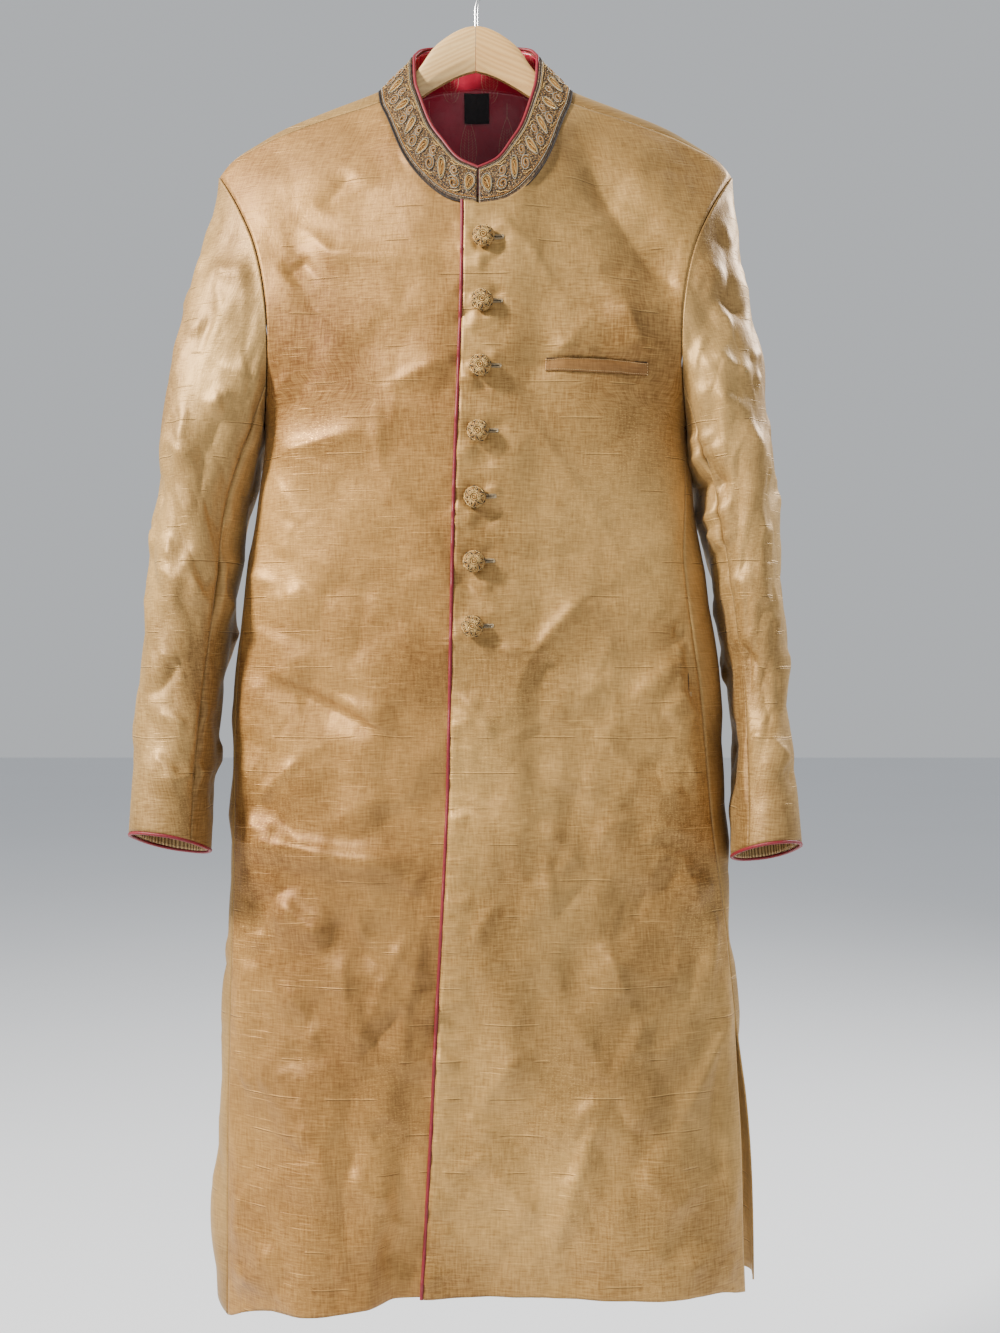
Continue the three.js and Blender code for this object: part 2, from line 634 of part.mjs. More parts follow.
function hookGeometry() {
  const { wire, bend, stemTop } = HOOK;
  const centreZ = wire - bend;
  const points = [new THREE.Vector3(0, 0, HOOK.bottom), new THREE.Vector3(0, 0, stemTop - 8)];
  const turns = 12;
  for (let k = 0; k <= turns; k += 1) {
    const angle = Math.PI * mix(HOOK.from, HOOK.to, k / turns);
    points.push(new THREE.Vector3(bend * Math.cos(angle), 0, centreZ + bend * Math.sin(angle)));
  }
  return bar(points, wire, HOOK.lengths, HOOK.sides);
}

// ---------------------------------------------------------------- assembly

const coat = new THREE.Group();

function material(color, roughness, metalness = 0) {
  return new THREE.MeshStandardMaterial({ color, roughness, metalness, side: THREE.DoubleSide });
}

const gold = material(0xc6a26c, 0.5, 0.2);
const zardozi = material(0x5a4630, 0.6, 0.3);
const crimson = material(0x8e1326, 0.45);
const satin = material(0xa8182c, 0.35);
const black = material(0x151515, 0.7);
const welt = material(0x9c7346, 0.55, 0.1);
const thread = material(0xa58a52, 0.5, 0.5);
const beech = material(0xe6c48f, 0.5);
const steel = material(0xb8babd, 0.3, 1);

function add(name, geometry, finish) {
  const mesh = new THREE.Mesh(geometry, finish);
  mesh.name = name;
  coat.add(mesh);
  return mesh;
}

const overGrid = frontGrid(1);
add('front_left', wall(overGrid, CLOTH), gold);
add('front_right', wall(frontGrid(-1), CLOTH), gold);
add('back', wall(backGrid(), CLOTH), gold);

const { from: underFrom, to: underTo } = UNDER_SLEEVE;
const underSteps = Math.round(SLEEVE_GRID.around * (underTo - underFrom));
const topSteps = SLEEVE_GRID.around - underSteps;
for (const [side, name] of [[1, 'left'], [-1, 'right']]) {
  const topPanel = sleevePanel(side, underTo + SLEEVE_SEAM_TURN, 1 + underFrom - SLEEVE_SEAM_TURN, topSteps);
  add(`sleeve_${name}_top`, topPanel, gold);
  add(`sleeve_${name}_under`, sleevePanel(side, underFrom, underTo, underSteps), gold);
  const lining = [CUFF.liningTop, CUFF.liningEnd].map((v) => (
    cuffRing(side, v, CUFF.inset, SLEEVE_GRID.around)));
  add(`cuff_lining_${name}`, wall(lining, TRIM_CLOTH, true), gold);
  const rims = [CUFF.pipingTop, CUFF.pipingEnd].map((v) => (
    cuffRing(side, v, 0, SLEEVE_GRID.around)));
  add(`cuff_piping_${name}`, wall(rims, CUFF.inset, true), crimson);
}

const stand = collarGrid(0);
add('collar', wall(stand, COLLAR_CLOTH), zardozi);
const standLining = collarGrid(COLLAR.liningStart);
const standNormals = outwardNormals(standLining, false);
const standOut = standNormals[0][2 * NECK_STEPS].y > 0 ? 1 : -1;
const liningShift = -standOut * (COLLAR_CLOTH / 2 + TRIM_CLOTH / 2 + SEAM_GAP + COLLAR.liningRoom);
add('collar_lining', wall(moved(standLining, standNormals, liningShift), TRIM_CLOTH), satin);

// The piping's path: the first points of a grid's lines, moved clear of the edge
function alongEdge(edge, next) {
  return edge.map((p, j) => {
    const before = edge[Math.max(0, j - 1)];
    const after = edge[Math.min(edge.length - 1, j + 1)];
    const ahead = new THREE.Vector3().subVectors(after, before).normalize();
    const out = new THREE.Vector3().subVectors(p, next[j]);
    out.addScaledVector(ahead, -out.dot(ahead)).normalize();
    return p.clone().addScaledVector(out, PIPING_RADIUS + 1.5 * SEAM_GAP);
  });
}
add('collar_piping', beading(alongEdge(stand[0], stand[1]), PIPING_RADIUS, 8), crimson);
const overEdge = overGrid.map((row) => row[0]);
const overNext = overGrid.map((row) => row[1]);
add('front_piping', beading(alongEdge(overEdge, overNext), PIPING_RADIUS, 8), crimson);

const liningGrid = NECK_LINING.falls.map((fall) => {
  const row = [];
  for (let j = -6; j <= 6; j += 1) {
    const x = j * NECK_LINING.step;
    const top = ridgeZ(x) - read(NECK_LINING.x, NECK_LINING.drop, Math.abs(x));
    row.push(bodyPoint(x, top - fall, 1));
  }
  return row;
});
const liningNormals = outwardNormals(liningGrid, false);
const liningOut = liningNormals[0][6].y > 0 ? 1 : -1;
const liningSheet = moved(liningGrid, liningNormals, -liningOut * NECK_LINING.inset);
add('neck_lining', wall(liningSheet, TRIM_CLOTH), satin);

const labelGrid = LABEL.z.map((z) => LABEL.x.map((x) => {
  const point = bodyPoint(x, z, 1);
  point.y -= LABEL.ahead;
  return point;
}));
add('neck_label', wall(labelGrid, LABEL.thickness), black);

const weltRows = [1, 0].map((up) => {
  const row = [];
  for (let j = 0; j <= WELT_COLUMNS; j += 1) {
    const share = j / WELT_COLUMNS;
    const x = mix(WELT.left, WELT.right, share);
    const z = WELT.bottom + up * WELT.height - WELT.droop * share;
    row.push(bodyPoint(x, z, -1));
  }
  return row;
});
const weltNormals = outwardNormals(weltRows, false);
const weltOut = (weltNormals[0][3].y < 0 ? 1 : -1) * ((CLOTH + TRIM_CLOTH) / 2 + 4 * SEAM_GAP);
add('chest_welt', wall(moved(weltRows, weltNormals, weltOut), TRIM_CLOTH), welt);

// Radius, and height above the cloth, from the shank to the crown
const buttonProfile = [[0, 0], [3, 0], [3, 1.6], [8.2, 2.2], [BUTTON.radius, 4.8], [9.2, 7.6],
  [6.6, 9.8], [3.2, 10.8], [0, 11]].map(([r, y]) => new THREE.Vector2(r, y));
for (let k = 0; k < BUTTON.count; k += 1) {
  const z = BUTTON.firstZ - BUTTON.pitch * k;
  const x = frontEdgeX(1, z) + BUTTON.fromEdge;
  const mesh = add(`button_${k + 1}`, new THREE.LatheGeometry(buttonProfile, BUTTON_SIDES), thread);
  mesh.rotation.x = Math.PI;
  mesh.position.set(x, frontY(x, z) - OVERLAP_STEP - CLOTH / 2 - BUTTON_LIFT, z);
}

for (const [side, name] of [[1, 'left'], [-1, 'right']]) {
  add(`hanger_arm_${name}`, armGeometry(side), beech);
}
add('hanger_hook', hookGeometry(), steel);

export default coat;
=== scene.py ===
"""A sherwani on its wooden hanger: raw silk cloth, zardozi collar, piping, worked buttons, wood and steel.

Sizes and places in the tables are millimetres, +Z up, with the coat's front facing -Y and +X the
wearer's left. Meshes are made in metres.
"""
import math
from types import SimpleNamespace

import bpy
import numpy as np
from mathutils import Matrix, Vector


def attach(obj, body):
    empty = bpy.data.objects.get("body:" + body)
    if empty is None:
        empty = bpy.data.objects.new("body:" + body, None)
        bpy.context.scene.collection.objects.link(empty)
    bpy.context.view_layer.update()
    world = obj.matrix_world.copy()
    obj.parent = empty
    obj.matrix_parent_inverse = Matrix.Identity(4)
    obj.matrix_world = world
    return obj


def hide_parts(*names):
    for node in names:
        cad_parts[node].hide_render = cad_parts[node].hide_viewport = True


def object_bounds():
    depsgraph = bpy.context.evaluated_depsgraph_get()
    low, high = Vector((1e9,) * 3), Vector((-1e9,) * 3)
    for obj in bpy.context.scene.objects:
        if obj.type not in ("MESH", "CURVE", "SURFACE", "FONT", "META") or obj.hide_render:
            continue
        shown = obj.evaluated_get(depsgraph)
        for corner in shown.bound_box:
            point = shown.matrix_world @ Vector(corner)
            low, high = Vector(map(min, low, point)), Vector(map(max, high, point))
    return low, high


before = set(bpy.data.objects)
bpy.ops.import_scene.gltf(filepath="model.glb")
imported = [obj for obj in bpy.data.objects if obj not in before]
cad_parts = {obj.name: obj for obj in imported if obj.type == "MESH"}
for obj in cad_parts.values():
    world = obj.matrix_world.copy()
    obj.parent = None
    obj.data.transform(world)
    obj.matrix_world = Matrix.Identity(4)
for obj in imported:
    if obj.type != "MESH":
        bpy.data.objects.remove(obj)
MODEL_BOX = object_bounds()
MM = 0.001
CAMERA = SimpleNamespace(place=(0.024, -1.460, -0.712), sensor=36, lens=39.8)
FLOOR = SimpleNamespace(half=14.0, drop=0.35)

# ------------------------------------------------------------------ driving sizes

CLOTH = 1.6             # shell cloth with its interlining
TRIM_CLOTH = 1.2        # lining, label and welt
COLLAR_CLOTH = 2.6      # embroidered stand
SEAM_GAP = 0.3
OVERLAP_STEP = 3.2      # the buttoned front lies this far ahead of the one under it
UNDERLAP_X = 30         # how far the lower front reaches past the centre line
PIPING_RADIUS = 1.7
PIPING_LIFT = 0.1           # the piping stands this far clear of the edge it is sewn to
TIP_X, TIP_Z = 251, -231    # shoulder tip
UNDERARM_Z = -484
UNDERARM_EASE = 20       # the height over which the armhole rounds into the side seam
NECK_CORNER_X = 91
HEM_Z = -1292
BACK_HEM_Z = -1300
BUTTON = SimpleNamespace(count=7, first_z=-315, pitch=60, from_edge=18.5)
WELT = SimpleNamespace(left=66, right=162, bottom=-438, height=11.5, droop=1.8)
SIDE_POCKET = SimpleNamespace(x=201, top=-650, bottom=-738)
HOOK = SimpleNamespace(wire=1.9, bend=22, stem_top=-56)

# ------------------------------------------------------------------ tables

BODY = {
    "z": [-231, -300, -380, -440, -484, -560, -650, -745, -893, -1040, -1158, -1237, -1330],
    "left": [-262, -240, -222, -209, -204, -213, -227, -235, -239, -244, -248, -250, -246],
    "right": [262, 240, 222, 209, 205, 214, 229, 240, 245, 253, 264, 267, 267],
    "side": [0, -2, -4, -5, -6, -8, -10, -14, -18, -22, -27, -31, -35],
    "front": [60, 80, 88, 90, 90, 86, 82, 80, 78, 78, 78, 78, 78],
    "back": [55, 66, 70, 70, 68, 62, 56, 52, 50, 50, 50, 50, 50],
}
BODY_POWER = 2.8
RIDGE = {
    "x": [0, 45, 92, 143, 187, 215, 240, 254, 330],
    "z": [-108, -119, -143, -163, -181, -197, -214, -232, -330],
}
RIDGE_ROUND = 14
ARMHOLE = {
    "z": [-484, -470, -447, -415, -380, -340, -305, -271, -250, -231],
    "front": [204, 201, 197, 194.5, 195, 201, 211, 227, 239, 251],
    "back": [204, 203.4, 205, 208.5, 213, 220, 229, 240, 246, 251],
}
NECK = {
    "x": [0, 45, 72, 88, 92.5, 91, 83, 68, 50, 28, 0],
    "drop": [22, 18, 14, 8, 0, -20, -46, -97, -135, -161, -173],
    "top_x": [0, 36, 53, 60, 62.5, 61, 57, 46, 34, 20, 0],
    "top_y": [26, 24, 18, 10, 0, -16, -28, -50, -63, -72, -76],
    "top_z": [-91, -92, -96, -103, -112, -138, -156, -192, -214, -234, -245],
}
NECK_LEAN = 3.5
NECK_CORNER = 0.5
COLLAR_END = 0.997
NECK_END = {1: 1.045, -1: 1.1}
SHOULDER_SEAM = {"x": [91, 115, 145, 180, 215, 251], "drop": [-20, -18, -15, -13, -8, 0]}
FRONT_EDGE = {
    "z": [-1300, -1171, -1022, -929, -836, -743, -548, -441, -283],
    "x": [-46.5, -39, -32, -27, -23, -21, -17, -13, -9],
}
SIDE_SEAM = {
    "z": [-1330, -1237, -1120, -1045, -1035, -950, -850, -740, -620, -560, -484],
    "front left": [12, 15, 11, 6, 6.2, 10, 20, 26, 26, 14, 0.02],
    "back left": [1, 0.5, 2, 6, 6.2, 10, 20, 26, 26, 14, 0.02],
    "front right": [16, 20, 15, 13.1, 13, 11, 9, 7, 6, 4, 0.02],
    "back right": [16, 20, 15, 13.1, 13, 11, 9, 7, 6, 4, 0.02],
}
SEAM_SHARE = 0.0010
CREASE_GAIN = 2.1
SLEEVE_PATCHES = 0.6         # how much of the crumpled patches the sleeves take
CRUMPLE_FLOOR = -4.5         # patches of cloth fall no further than this between their centres
PATCH = SimpleNamespace(jitter=0.36, tilt=0.05, uneven=1.2, squash=0.8)
FRONT_BOX = (-280, 290, -1350, -180)    # where patches lie: lowest and highest x, lowest and highest z
BACK_BOX = (-290, 300, -1350, -100)
BODY_MIDDLE = (0, 0, -700)
NECK_MIDDLE = (0, -30, -200)
HEM = {
    "x": [-250, -236, -208, -165, -110, -80, -45, 42, 115, 190, 230, 268],
    "front": [-1318, -1316, -1308, -1299, -1296, -1293, -1290, -1285, -1286, -1289, -1296, -1301],
}
SLEEVES = {
    -1: {
        "z": [-900, -873, -796, -729, -656, -558, -460, -398, -357, -326, -287, -257, -231],
        "outer": [324, 324, 323.5, 321, 317, 310, 303, 294, 289, 283, 277, 270, 258],
        "inner": [250.5, 250.5, 250, 244.5, 235.5, 225, 210, 200, 196, 196, 200, 205, 215],
        "y": [-72, -67, -45, -30, -20, -10, -6, -5, -4, -4, -3, -2, -1],
        "depth": [49, 49, 54, 58, 62, 68, 73, 74, 73, 70, 60, 46, 25],
    },
    1: {
        "z": [-900, -882, -807, -729, -663, -568, -490, -460, -398, -357, -326, -287, -257, -231],
        "outer": [307, 306, 303, 299.5, 297.5, 291, 285, 282, 277, 271, 268, 264, 260, 256],
        "inner": [243, 243, 247.5, 246, 237.5, 223.5, 213, 211, 200, 198, 196, 200, 205, 215],
        "y": [-76, -72, -50, -30, -20, -11, -7, -6, -5, -4, -4, -3, -2, -1],
        "depth": [51, 52, 57, 61, 68, 76, 80, 80, 80, 77, 73, 62, 48, 26],
    },
}
SLEEVE_POWER = 2.2
CUFFS = {-1: (-877, 12.5, 6), 1: (-884, 13.5, 4)}      # height, rise at the front, rise at the outside
CAP_END = 0.32
UNDER_SLEEVE = (0.37, 0.70)
UNDER_SLEEVE_ARC = 260
ARM = {
    "x": [0.2, 12, 26, 42, 56, 74, 92, 143, 187, 216, 236],
    "top": [-78.5, -81, -88, -101, -121, -139, -154, -173, -191, -207, -223],
    "bottom": [-123, -126, -132, -141, -150, -160, -171, -192, -210, -225, -233],
    "half": [7, 7, 7, 7, 7, 7, 7, 7.5, 8, 8, 6],
}

# The skirt's two forward swells: centre x, half width, how far out, and the height where each starts
SWELLS = [(150, 62, 24, -900), (-140, 52, 34, -900)]
FALL_BACK = SimpleNamespace(top_x=-62, top_z=-1030, low_x=-84, low_z=-1290, reach=13)

# Largest folds: from x, z to x, z, half width, rise
FRONT_FOLDS = [
    (92, -200, 190, -350, 17, -8), (130, -350, 158, -425, 14, 4), (36, -440, 150, -630, 20, -5),
    (-212, -712, -48, -790, 12, -6), (-208, -880, -52, -900, 11, 5), (-186, -930, -134, -968, 12, 5),
    (226, -1040, 172, -1145, 15, -7), (-182, -300, -70, -420, 18, -4),
]
BACK_FOLDS = [
    (-150, -260, -60, -430, 20, -5), (150, -270, 70, -450, 20, -5), (-90, -700, -110, -1290, 26, 7),
    (100, -760, 120, -1290, 26, 7), (10, -640, 4, -1290, 30, -6),
]

# Creases of the fronts: rise, how far each falls away above it and below it, then its path
FRONT_CREASES = [
    # wearer's right, which is under
    (3.4, 10, 17, [(-207, -709), (-166, -723), (-137, -738), (-112, -747), (-82, -767), (-46, -785)]),
    (-2.6, 5, 16, [(-200, -722), (-150, -742), (-112, -760), (-80, -780)]),
    (3.2, 8, 20, [(-202, -875), (-178, -878), (-148, -884), (-116, -889), (-66, -892), (-48, -887)]),
    (2.8, 9, 16, [(-205, -839), (-183, -818), (-159, -798)]),
    (3.0, 7, 15, [(-184, -926), (-167, -942), (-150, -954), (-131, -960)]),
    (-2.6, 6, 13, [(-138, -945), (-120, -958), (-104, -975), (-86, -988)]),
    (2.2, 7, 12, [(-121, -970), (-118, -1031), (-117, -1069)]),
    (2.6, 8, 15, [(-47, -934), (-82, -999), (-93, -1029), (-120, -1075)]),
    (-2.2, 5, 10, [(-63, -1026), (-106, -1075)]),
    (2.0, 6, 11, [(-42, -914), (-54, -1001), (-63, -1026), (-67, -1100)]),
    (3.0, 10, 20, [(-171, -295), (-153, -307), (-133, -326), (-80, -330), (-60, -333), (-25, -335)]),
    (-2.0, 14, 22, [(-179, -354), (-133, -390), (-77, -435)]),
    (2.2, 7, 15, [(-15, -426), (-42, -433), (-72, -449), (-93, -456)]),
    (2.8, 8, 18, [(-191, -512), (-150, -503), (-97, -490)]),
    (1.8, 9, 16, [(-88, -445), (-90, -490), (-86, -530), (-52, -574), (-18, -612)]),
    (-2.4, 8, 13, [(-153, -328), (-179, -347)]),
    (-2.0, 9, 14, [(-115, -241), (-145, -283)]),
    (1.6, 5, 8, [(-205, -960), (-196, -978)]),
    (1.6, 5, 8, [(-219, -1103), (-205, -1095)]),
    (2.6, 7, 14, [(-177, -1238), (-198, -1267), (-219, -1294)]),
    (2.0, 8, 16, [(-170, -1105), (-140, -1150), (-128, -1205)]),
    (-1.8, 7, 14, [(-100, -1130), (-118, -1190), (-112, -1250)]),
    # wearer's left, which is over
    (-3.4, 16, 22, [(102, -203), (118, -251), (137, -288), (159, -322), (173, -340), (194, -359),
                    (195, -409)]),
    (2.6, 9, 18, [(135, -366), (151, -404), (159, -423)]),
    (2.4, 14, 24, [(24, -445), (72, -512), (117, -575), (155, -650)]),
    (2.8, 8, 18, [(117, -642), (98, -651), (73, -679), (57, -696), (34, -742)]),
    (2.0, 6, 10, [(18, -697), (43, -696), (69, -700)]),
    (2.6, 6, 12, [(-17, -742), (-2, -750), (8, -762), (20, -780)]),
    (2.6, 8, 18, [(197, -701), (170, -722), (140, -748)]),
    (2.8, 9, 18, [(105, -760), (150, -813), (170, -825), (195, -833), (212, -841)]),
    (2.2, 7, 13, [(61, -853), (86, -881), (103, -902)]),
    (2.2, 6, 13, [(-8, -976), (25, -921)]),
    (1.8, 6, 10, [(65, -883), (72, -929)]),
    (2.4, 6, 12, [(185, -905), (197, -916), (235, -919)]),
    (3.0, 9, 17, [(101, -961), (131, -986), (166, -1001), (200, -1009)]),
    (3.4, 10, 16, [(122, -1098), (94, -1180), (67, -1264)]),
    (-2.6, 7, 13, [(122, -1098), (143, -1136), (178, -1153)]),
    (2.8, 8, 14, [(143, -1167), (172, -1192), (200, -1218)]),
    (2.4, 8, 15, [(122, -1098), (108, -1062), (84, -1036)]),
    (2.2, 8, 14, [(122, -1098), (146, -1062), (158, -1030)]),
    (2.6, 6, 13, [(17, -1172), (40, -1196), (60, -1215)]),
    (2.4, 6, 11, [(-28, -1193), (-10, -1172), (18, -1155)]),
    (2.0, 5, 10, [(-10, -1123), (18, -1144)]),
    (2.2, 6, 12, [(46, -1063), (25, -1090), (3, -1120)]),
    (2.8, 8, 15, [(240, -1043), (202, -1114), (185, -1146)]),
    (-3.0, 5, 8, [(228, -1060), (226, -1143), (232, -1200)]),
    (2.2, 8, 14, [(150, -880), (176, -862), (206, -868)]),
    (-2.2, 8, 16, [(40, -800), (78, -826), (110, -838)]),
    (2.0, 7, 15, [(44, -960), (76, -990), (84, -1030)]),
    (2.0, 7, 15, [(150, -1232), (178, -1256), (214, -1262)]),
    # side pocket in the seam: its edge, its dimple and its puckers
    (-1.3, 1.6, 1.6, [(201, -596), (201, -650), (201, -738)]),
    (-2.4, 6, 7, [(187, -676), (201, -683)]),
    (1.4, 3, 5, [(186, -694), (198, -700)]),
    (1.4, 3, 5, [(188, -708), (199, -712)]),
    (1.3, 3, 5, [(187, -722), (198, -727)]),
    (2.4, 5, 12, [(201, -736), (186, -747), (173, -758)]),
    # over the chest pocket, where the slit gapes
    (-2.6, 1.6, 3.2, [(67, -424.5), (88, -424), (118, -425.2), (160, -427.6)]),
    (1.7, 7, 3, [(70, -419), (92, -415), (118, -420)]),
]
BACK_CREASES = [
    (3.0, 10, 18, [(-176, -318), (-132, -346), (-84, -352), (-30, -350)]),
    (-2.6, 9, 16, [(168, -300), (128, -338), (72, -356)]),
    (2.6, 9, 17, [(184, -430), (140, -446), (96, -470), (58, -508)]),
    (2.4, 8, 15, [(-188, -486), (-142, -498), (-98, -530)]),
    (3.2, 9, 18, [(-204, -690), (-156, -716), (-104, -734), (-52, -770)]),
    (-2.6, 7, 15, [(-192, -742), (-140, -766), (-96, -808)]),
    (3.0, 9, 18, [(206, -664), (160, -700), (118, -722), (70, -728)]),
    (2.6, 8, 16, [(20, -640), (46, -700), (40, -764)]),
    (3.0, 9, 18, [(196, -812), (148, -838), (96, -850), (44, -884)]),
    (-2.8, 8, 14, [(-30, -820), (-74, -866), (-98, -924)]),
    (3.2, 9, 17, [(-206, -892), (-160, -900), (-112, -930), (-84, -978)]),
    (2.8, 8, 15, [(30, -940), (72, -984), (84, -1046)]),
    (3.0, 8, 16, [(216, -980), (166, -1010), (126, -1062), (98, -1130)]),
    (2.8, 8, 16, [(-180, -1064), (-136, -1090), (-108, -1142), (-96, -1208)]),
    (-2.8, 8, 15, [(-60, -1052), (-22, -1104), (4, -1170)]),
    (2.6, 7, 14, [(60, -1166), (104, -1196), (150, -1248)]),
    (2.4, 7, 13, [(-204, -1180), (-162, -1210), (-146, -1262)]),
    (2.4, 7, 13, [(206, -1130), (178, -1180), (182, -1238)]),
]
SLEEVE_CREASES = {
    -1: [
        (3.2, 8, 14, [(-251, -323), (-234, -340), (-202, -340)]),
        (3.0, 7, 14, [(-251, -475), (-238, -460), (-226, -449)]),
        (2.6, 7, 13, [(-247, -428), (-220, -436), (-193, -443)]),
        (3.2, 8, 15, [(-261, -595), (-283, -647), (-294, -665)]),
        (3.0, 8, 15, [(-222, -595), (-250, -630), (-270, -656)]),
        (2.6, 6, 12, [(-251, -808), (-270, -816), (-288, -819)]),
        (-2.8, 8, 12, [(-236, -372), (-262, -398), (-282, -408)]),
        (2.6, 7, 14, [(-262, -520), (-286, -500), (-300, -494)]),
        (-2.6, 7, 12, [(-270, -700), (-290, -730), (-312, -742)]),
        (2.4, 7, 12, [(-252, -740), (-262, -775), (-258, -800)]),
    ],
    1: [
        (3.2, 8, 14, [(217, -415), (240, -430), (262, -441)]),
        (3.0, 6, 12, [(206, -448), (241, -467), (257, -478)]),
        (2.2, 5, 9, [(204, -495), (229, -498)]),
        (2.6, 6, 10, [(208, -516), (237, -505)]),
        (-4.0, 7, 9, [(211, -538), (241, -539)]),
        (3.0, 6, 12, [(216, -576), (240, -560)]),
        (2.6, 6, 11, [(225, -582), (240, -598)]),
        (3.0, 8, 15, [(257, -478), (270, -520), (262, -566)]),
        (2.8, 8, 14, [(240, -620), (264, -646), (284, -652)]),
        (-2.6, 7, 13, [(246, -690), (270, -716), (290, -722)]),
        (2.6, 7, 13, [(252, -770), (276, -782), (296, -806)]),
        (-2.8, 8, 12, [(222, -356), (246, -372), (264, -372)]),
    ],
}

# ------------------------------------------------------------------ reading tables and shaping


def mix(a, b, t):
    return a + (b - a) * t


def smooth(low, high, value):
    t = np.clip((value - low) / (high - low), 0, 1)
    return t * t * (3 - 2 * t)


def read(keys, values, key):
    """A smooth curve through a table's column, which runs either way along its key column."""
    keys = np.asarray(keys, float)
    values = np.asarray(values, float)
    if keys[0] > keys[-1]:
        keys, values = keys[::-1], values[::-1]
    key = np.clip(key, keys[0], keys[-1])
    i = np.clip(np.searchsorted(keys, key, side="right") - 1, 0, len(keys) - 2)
    last = len(keys) - 1
    before = np.maximum(np.arange(len(keys)) - 1, 0)
    after = np.minimum(np.arange(len(keys)) + 1, last)
    slope = (values[after] - values[before]) / (keys[after] - keys[before])
    span = keys[i + 1] - keys[i]
    t = (key - keys[i]) / span
    start = (1 + 2 * t) * (1 - t) ** 2 * values[i] + t * (1 - t) ** 2 * span * slope[i]
    return start + t * t * (3 - 2 * t) * values[i + 1] + t * t * (t - 1) * span * slope[i + 1]


def along(values, share):
    return read(np.linspace(0, 1, len(values)), values, share)


def ridge_z(x):
    return read(RIDGE["x"], RIDGE["z"], np.abs(x))


def fold_rise(fold, x, z):
    x1, z1, x2, z2, width, rise = fold
    length = math.hypot(x2 - x1, z2 - z1)
    share = ((x - x1) * (x2 - x1) + (z - z1) * (z2 - z1)) / length ** 2
    off = ((x - x1) * (z2 - z1) - (z - z1) * (x2 - x1)) / length
    ends = smooth(-0.12, 0.2, share) * (1 - smooth(0.8, 1.12, share))
    return rise * ends * np.exp(-0.5 * (off / width) ** 2)


def section(z):
    left, right = (read(BODY["z"], BODY[column], z) for column in ("left", "right"))
    side, front, back = (read(BODY["z"], BODY[column], z) for column in ("side", "front", "back"))
    return SimpleNamespace(centre=(left + right) / 2, half=(right - left) / 2,
                           side=side, front=front, back=back)


def roundness(s, x):
    share = np.clip(np.abs(x - s.centre) / s.half, 0, 1)
    return (1 - share ** BODY_POWER) ** (1 / BODY_POWER)


def yoke_depth(x, z, reach, length, power):
    drop = np.maximum(0, ridge_z(x) - z)
    turn = 1 - np.minimum(drop, RIDGE_ROUND) / RIDGE_ROUND
    fall = reach * (1 - np.exp(-((drop / length) ** power)))
    return RIDGE_ROUND * np.sqrt(1 - turn * turn) + fall


def hem_swell(x, z):
    over, under = (out * smooth(top, HEM_Z, z) * np.exp(-0.5 * ((x - centre) / width) ** 2)
                   for centre, width, out, top in SWELLS)
    down = (z - FALL_BACK.top_z) / (FALL_BACK.low_z - FALL_BACK.top_z)
    line = mix(FALL_BACK.top_x, FALL_BACK.low_x, down)
    kept = 1 - smooth(line - FALL_BACK.reach, line + FALL_BACK.reach, x)
    return over + under * mix(1, kept, smooth(FALL_BACK.top_z + 60, FALL_BACK.low_z + 120, z))


def front_y(x, z):
    s = section(z)
    ring = s.side - s.front * roundness(s, x)
    yoke = -yoke_depth(x, z, 84 - 16 * (x / 200) ** 2, 95, 1.3)
    folds = sum(fold_rise(fold, x, z) for fold in FRONT_FOLDS)
    return mix(ring, yoke, smooth(-500, -370, z)) - (folds + hem_swell(x, z)) * roundness(s, x) ** 0.5


def back_y(x, z):
    s = section(z)
    ring = s.side + s.back * roundness(s, x)
    yoke = yoke_depth(x, z, 56 - 12 * (x / 200) ** 2, 60, 1.1)
    folds = sum(fold_rise(fold, x, z) for fold in BACK_FOLDS)
    return mix(ring, yoke, smooth(-500, -370, z)) + folds * roundness(s, x) ** 0.5


def body_point(x, z, face):
    x, z, face = np.broadcast_arrays(x, z, face)
    return np.stack([x, np.where(face < 0, front_y(x, z), back_y(x, z)), z], -1)


# ------------------------------------------------------------------ creases


def crease_height(x, z, crease):
    """How far a crease lifts each point. It has a sharp line, and a slope of its own on each side."""
    rise, above, below, path = crease
    path = np.asarray(path, float)
    reach = 4 * max(above, below)
    low, high = path.min(0) - reach, path.max(0) + reach
    near = (x > low[0]) & (x < high[0]) & (z > low[1]) & (z < high[1])
    lift = np.zeros_like(x)
    px, pz = x[near], z[near]
    best = np.full(px.shape, 1e9)
    side = np.zeros_like(px)
    place = np.zeros_like(px)
    lengths = np.hypot(*np.diff(path, axis=0).T)
    starts = np.concatenate([[0], np.cumsum(lengths)])
    for k, length in enumerate(lengths):
        dx, dz = (path[k + 1] - path[k]) / length
        t = np.clip((px - path[k, 0]) * dx + (pz - path[k, 1]) * dz, 0, length)
        off_x, off_z = px - path[k, 0] - t * dx, pz - path[k, 1] - t * dz
        away = np.hypot(off_x, off_z)
        closer = away < best
        best = np.where(closer, away, best)
        side = np.where(closer, off_z * (1 if abs(dx) > 0.4 else 0) + off_x * 0.6, side)
        place = np.where(closer, (starts[k] + t) / starts[-1], place)
    blunt = 1.2
    width = mix(below, above, smooth(-3, 3, side))
    slope = np.exp(-(np.sqrt(best ** 2 + blunt ** 2) - blunt) / width)
    taper = smooth(-0.02, 0.3, place) * (1 - smooth(0.7, 1.02, place))
    lift[near] = rise * slope * taper
    return lift


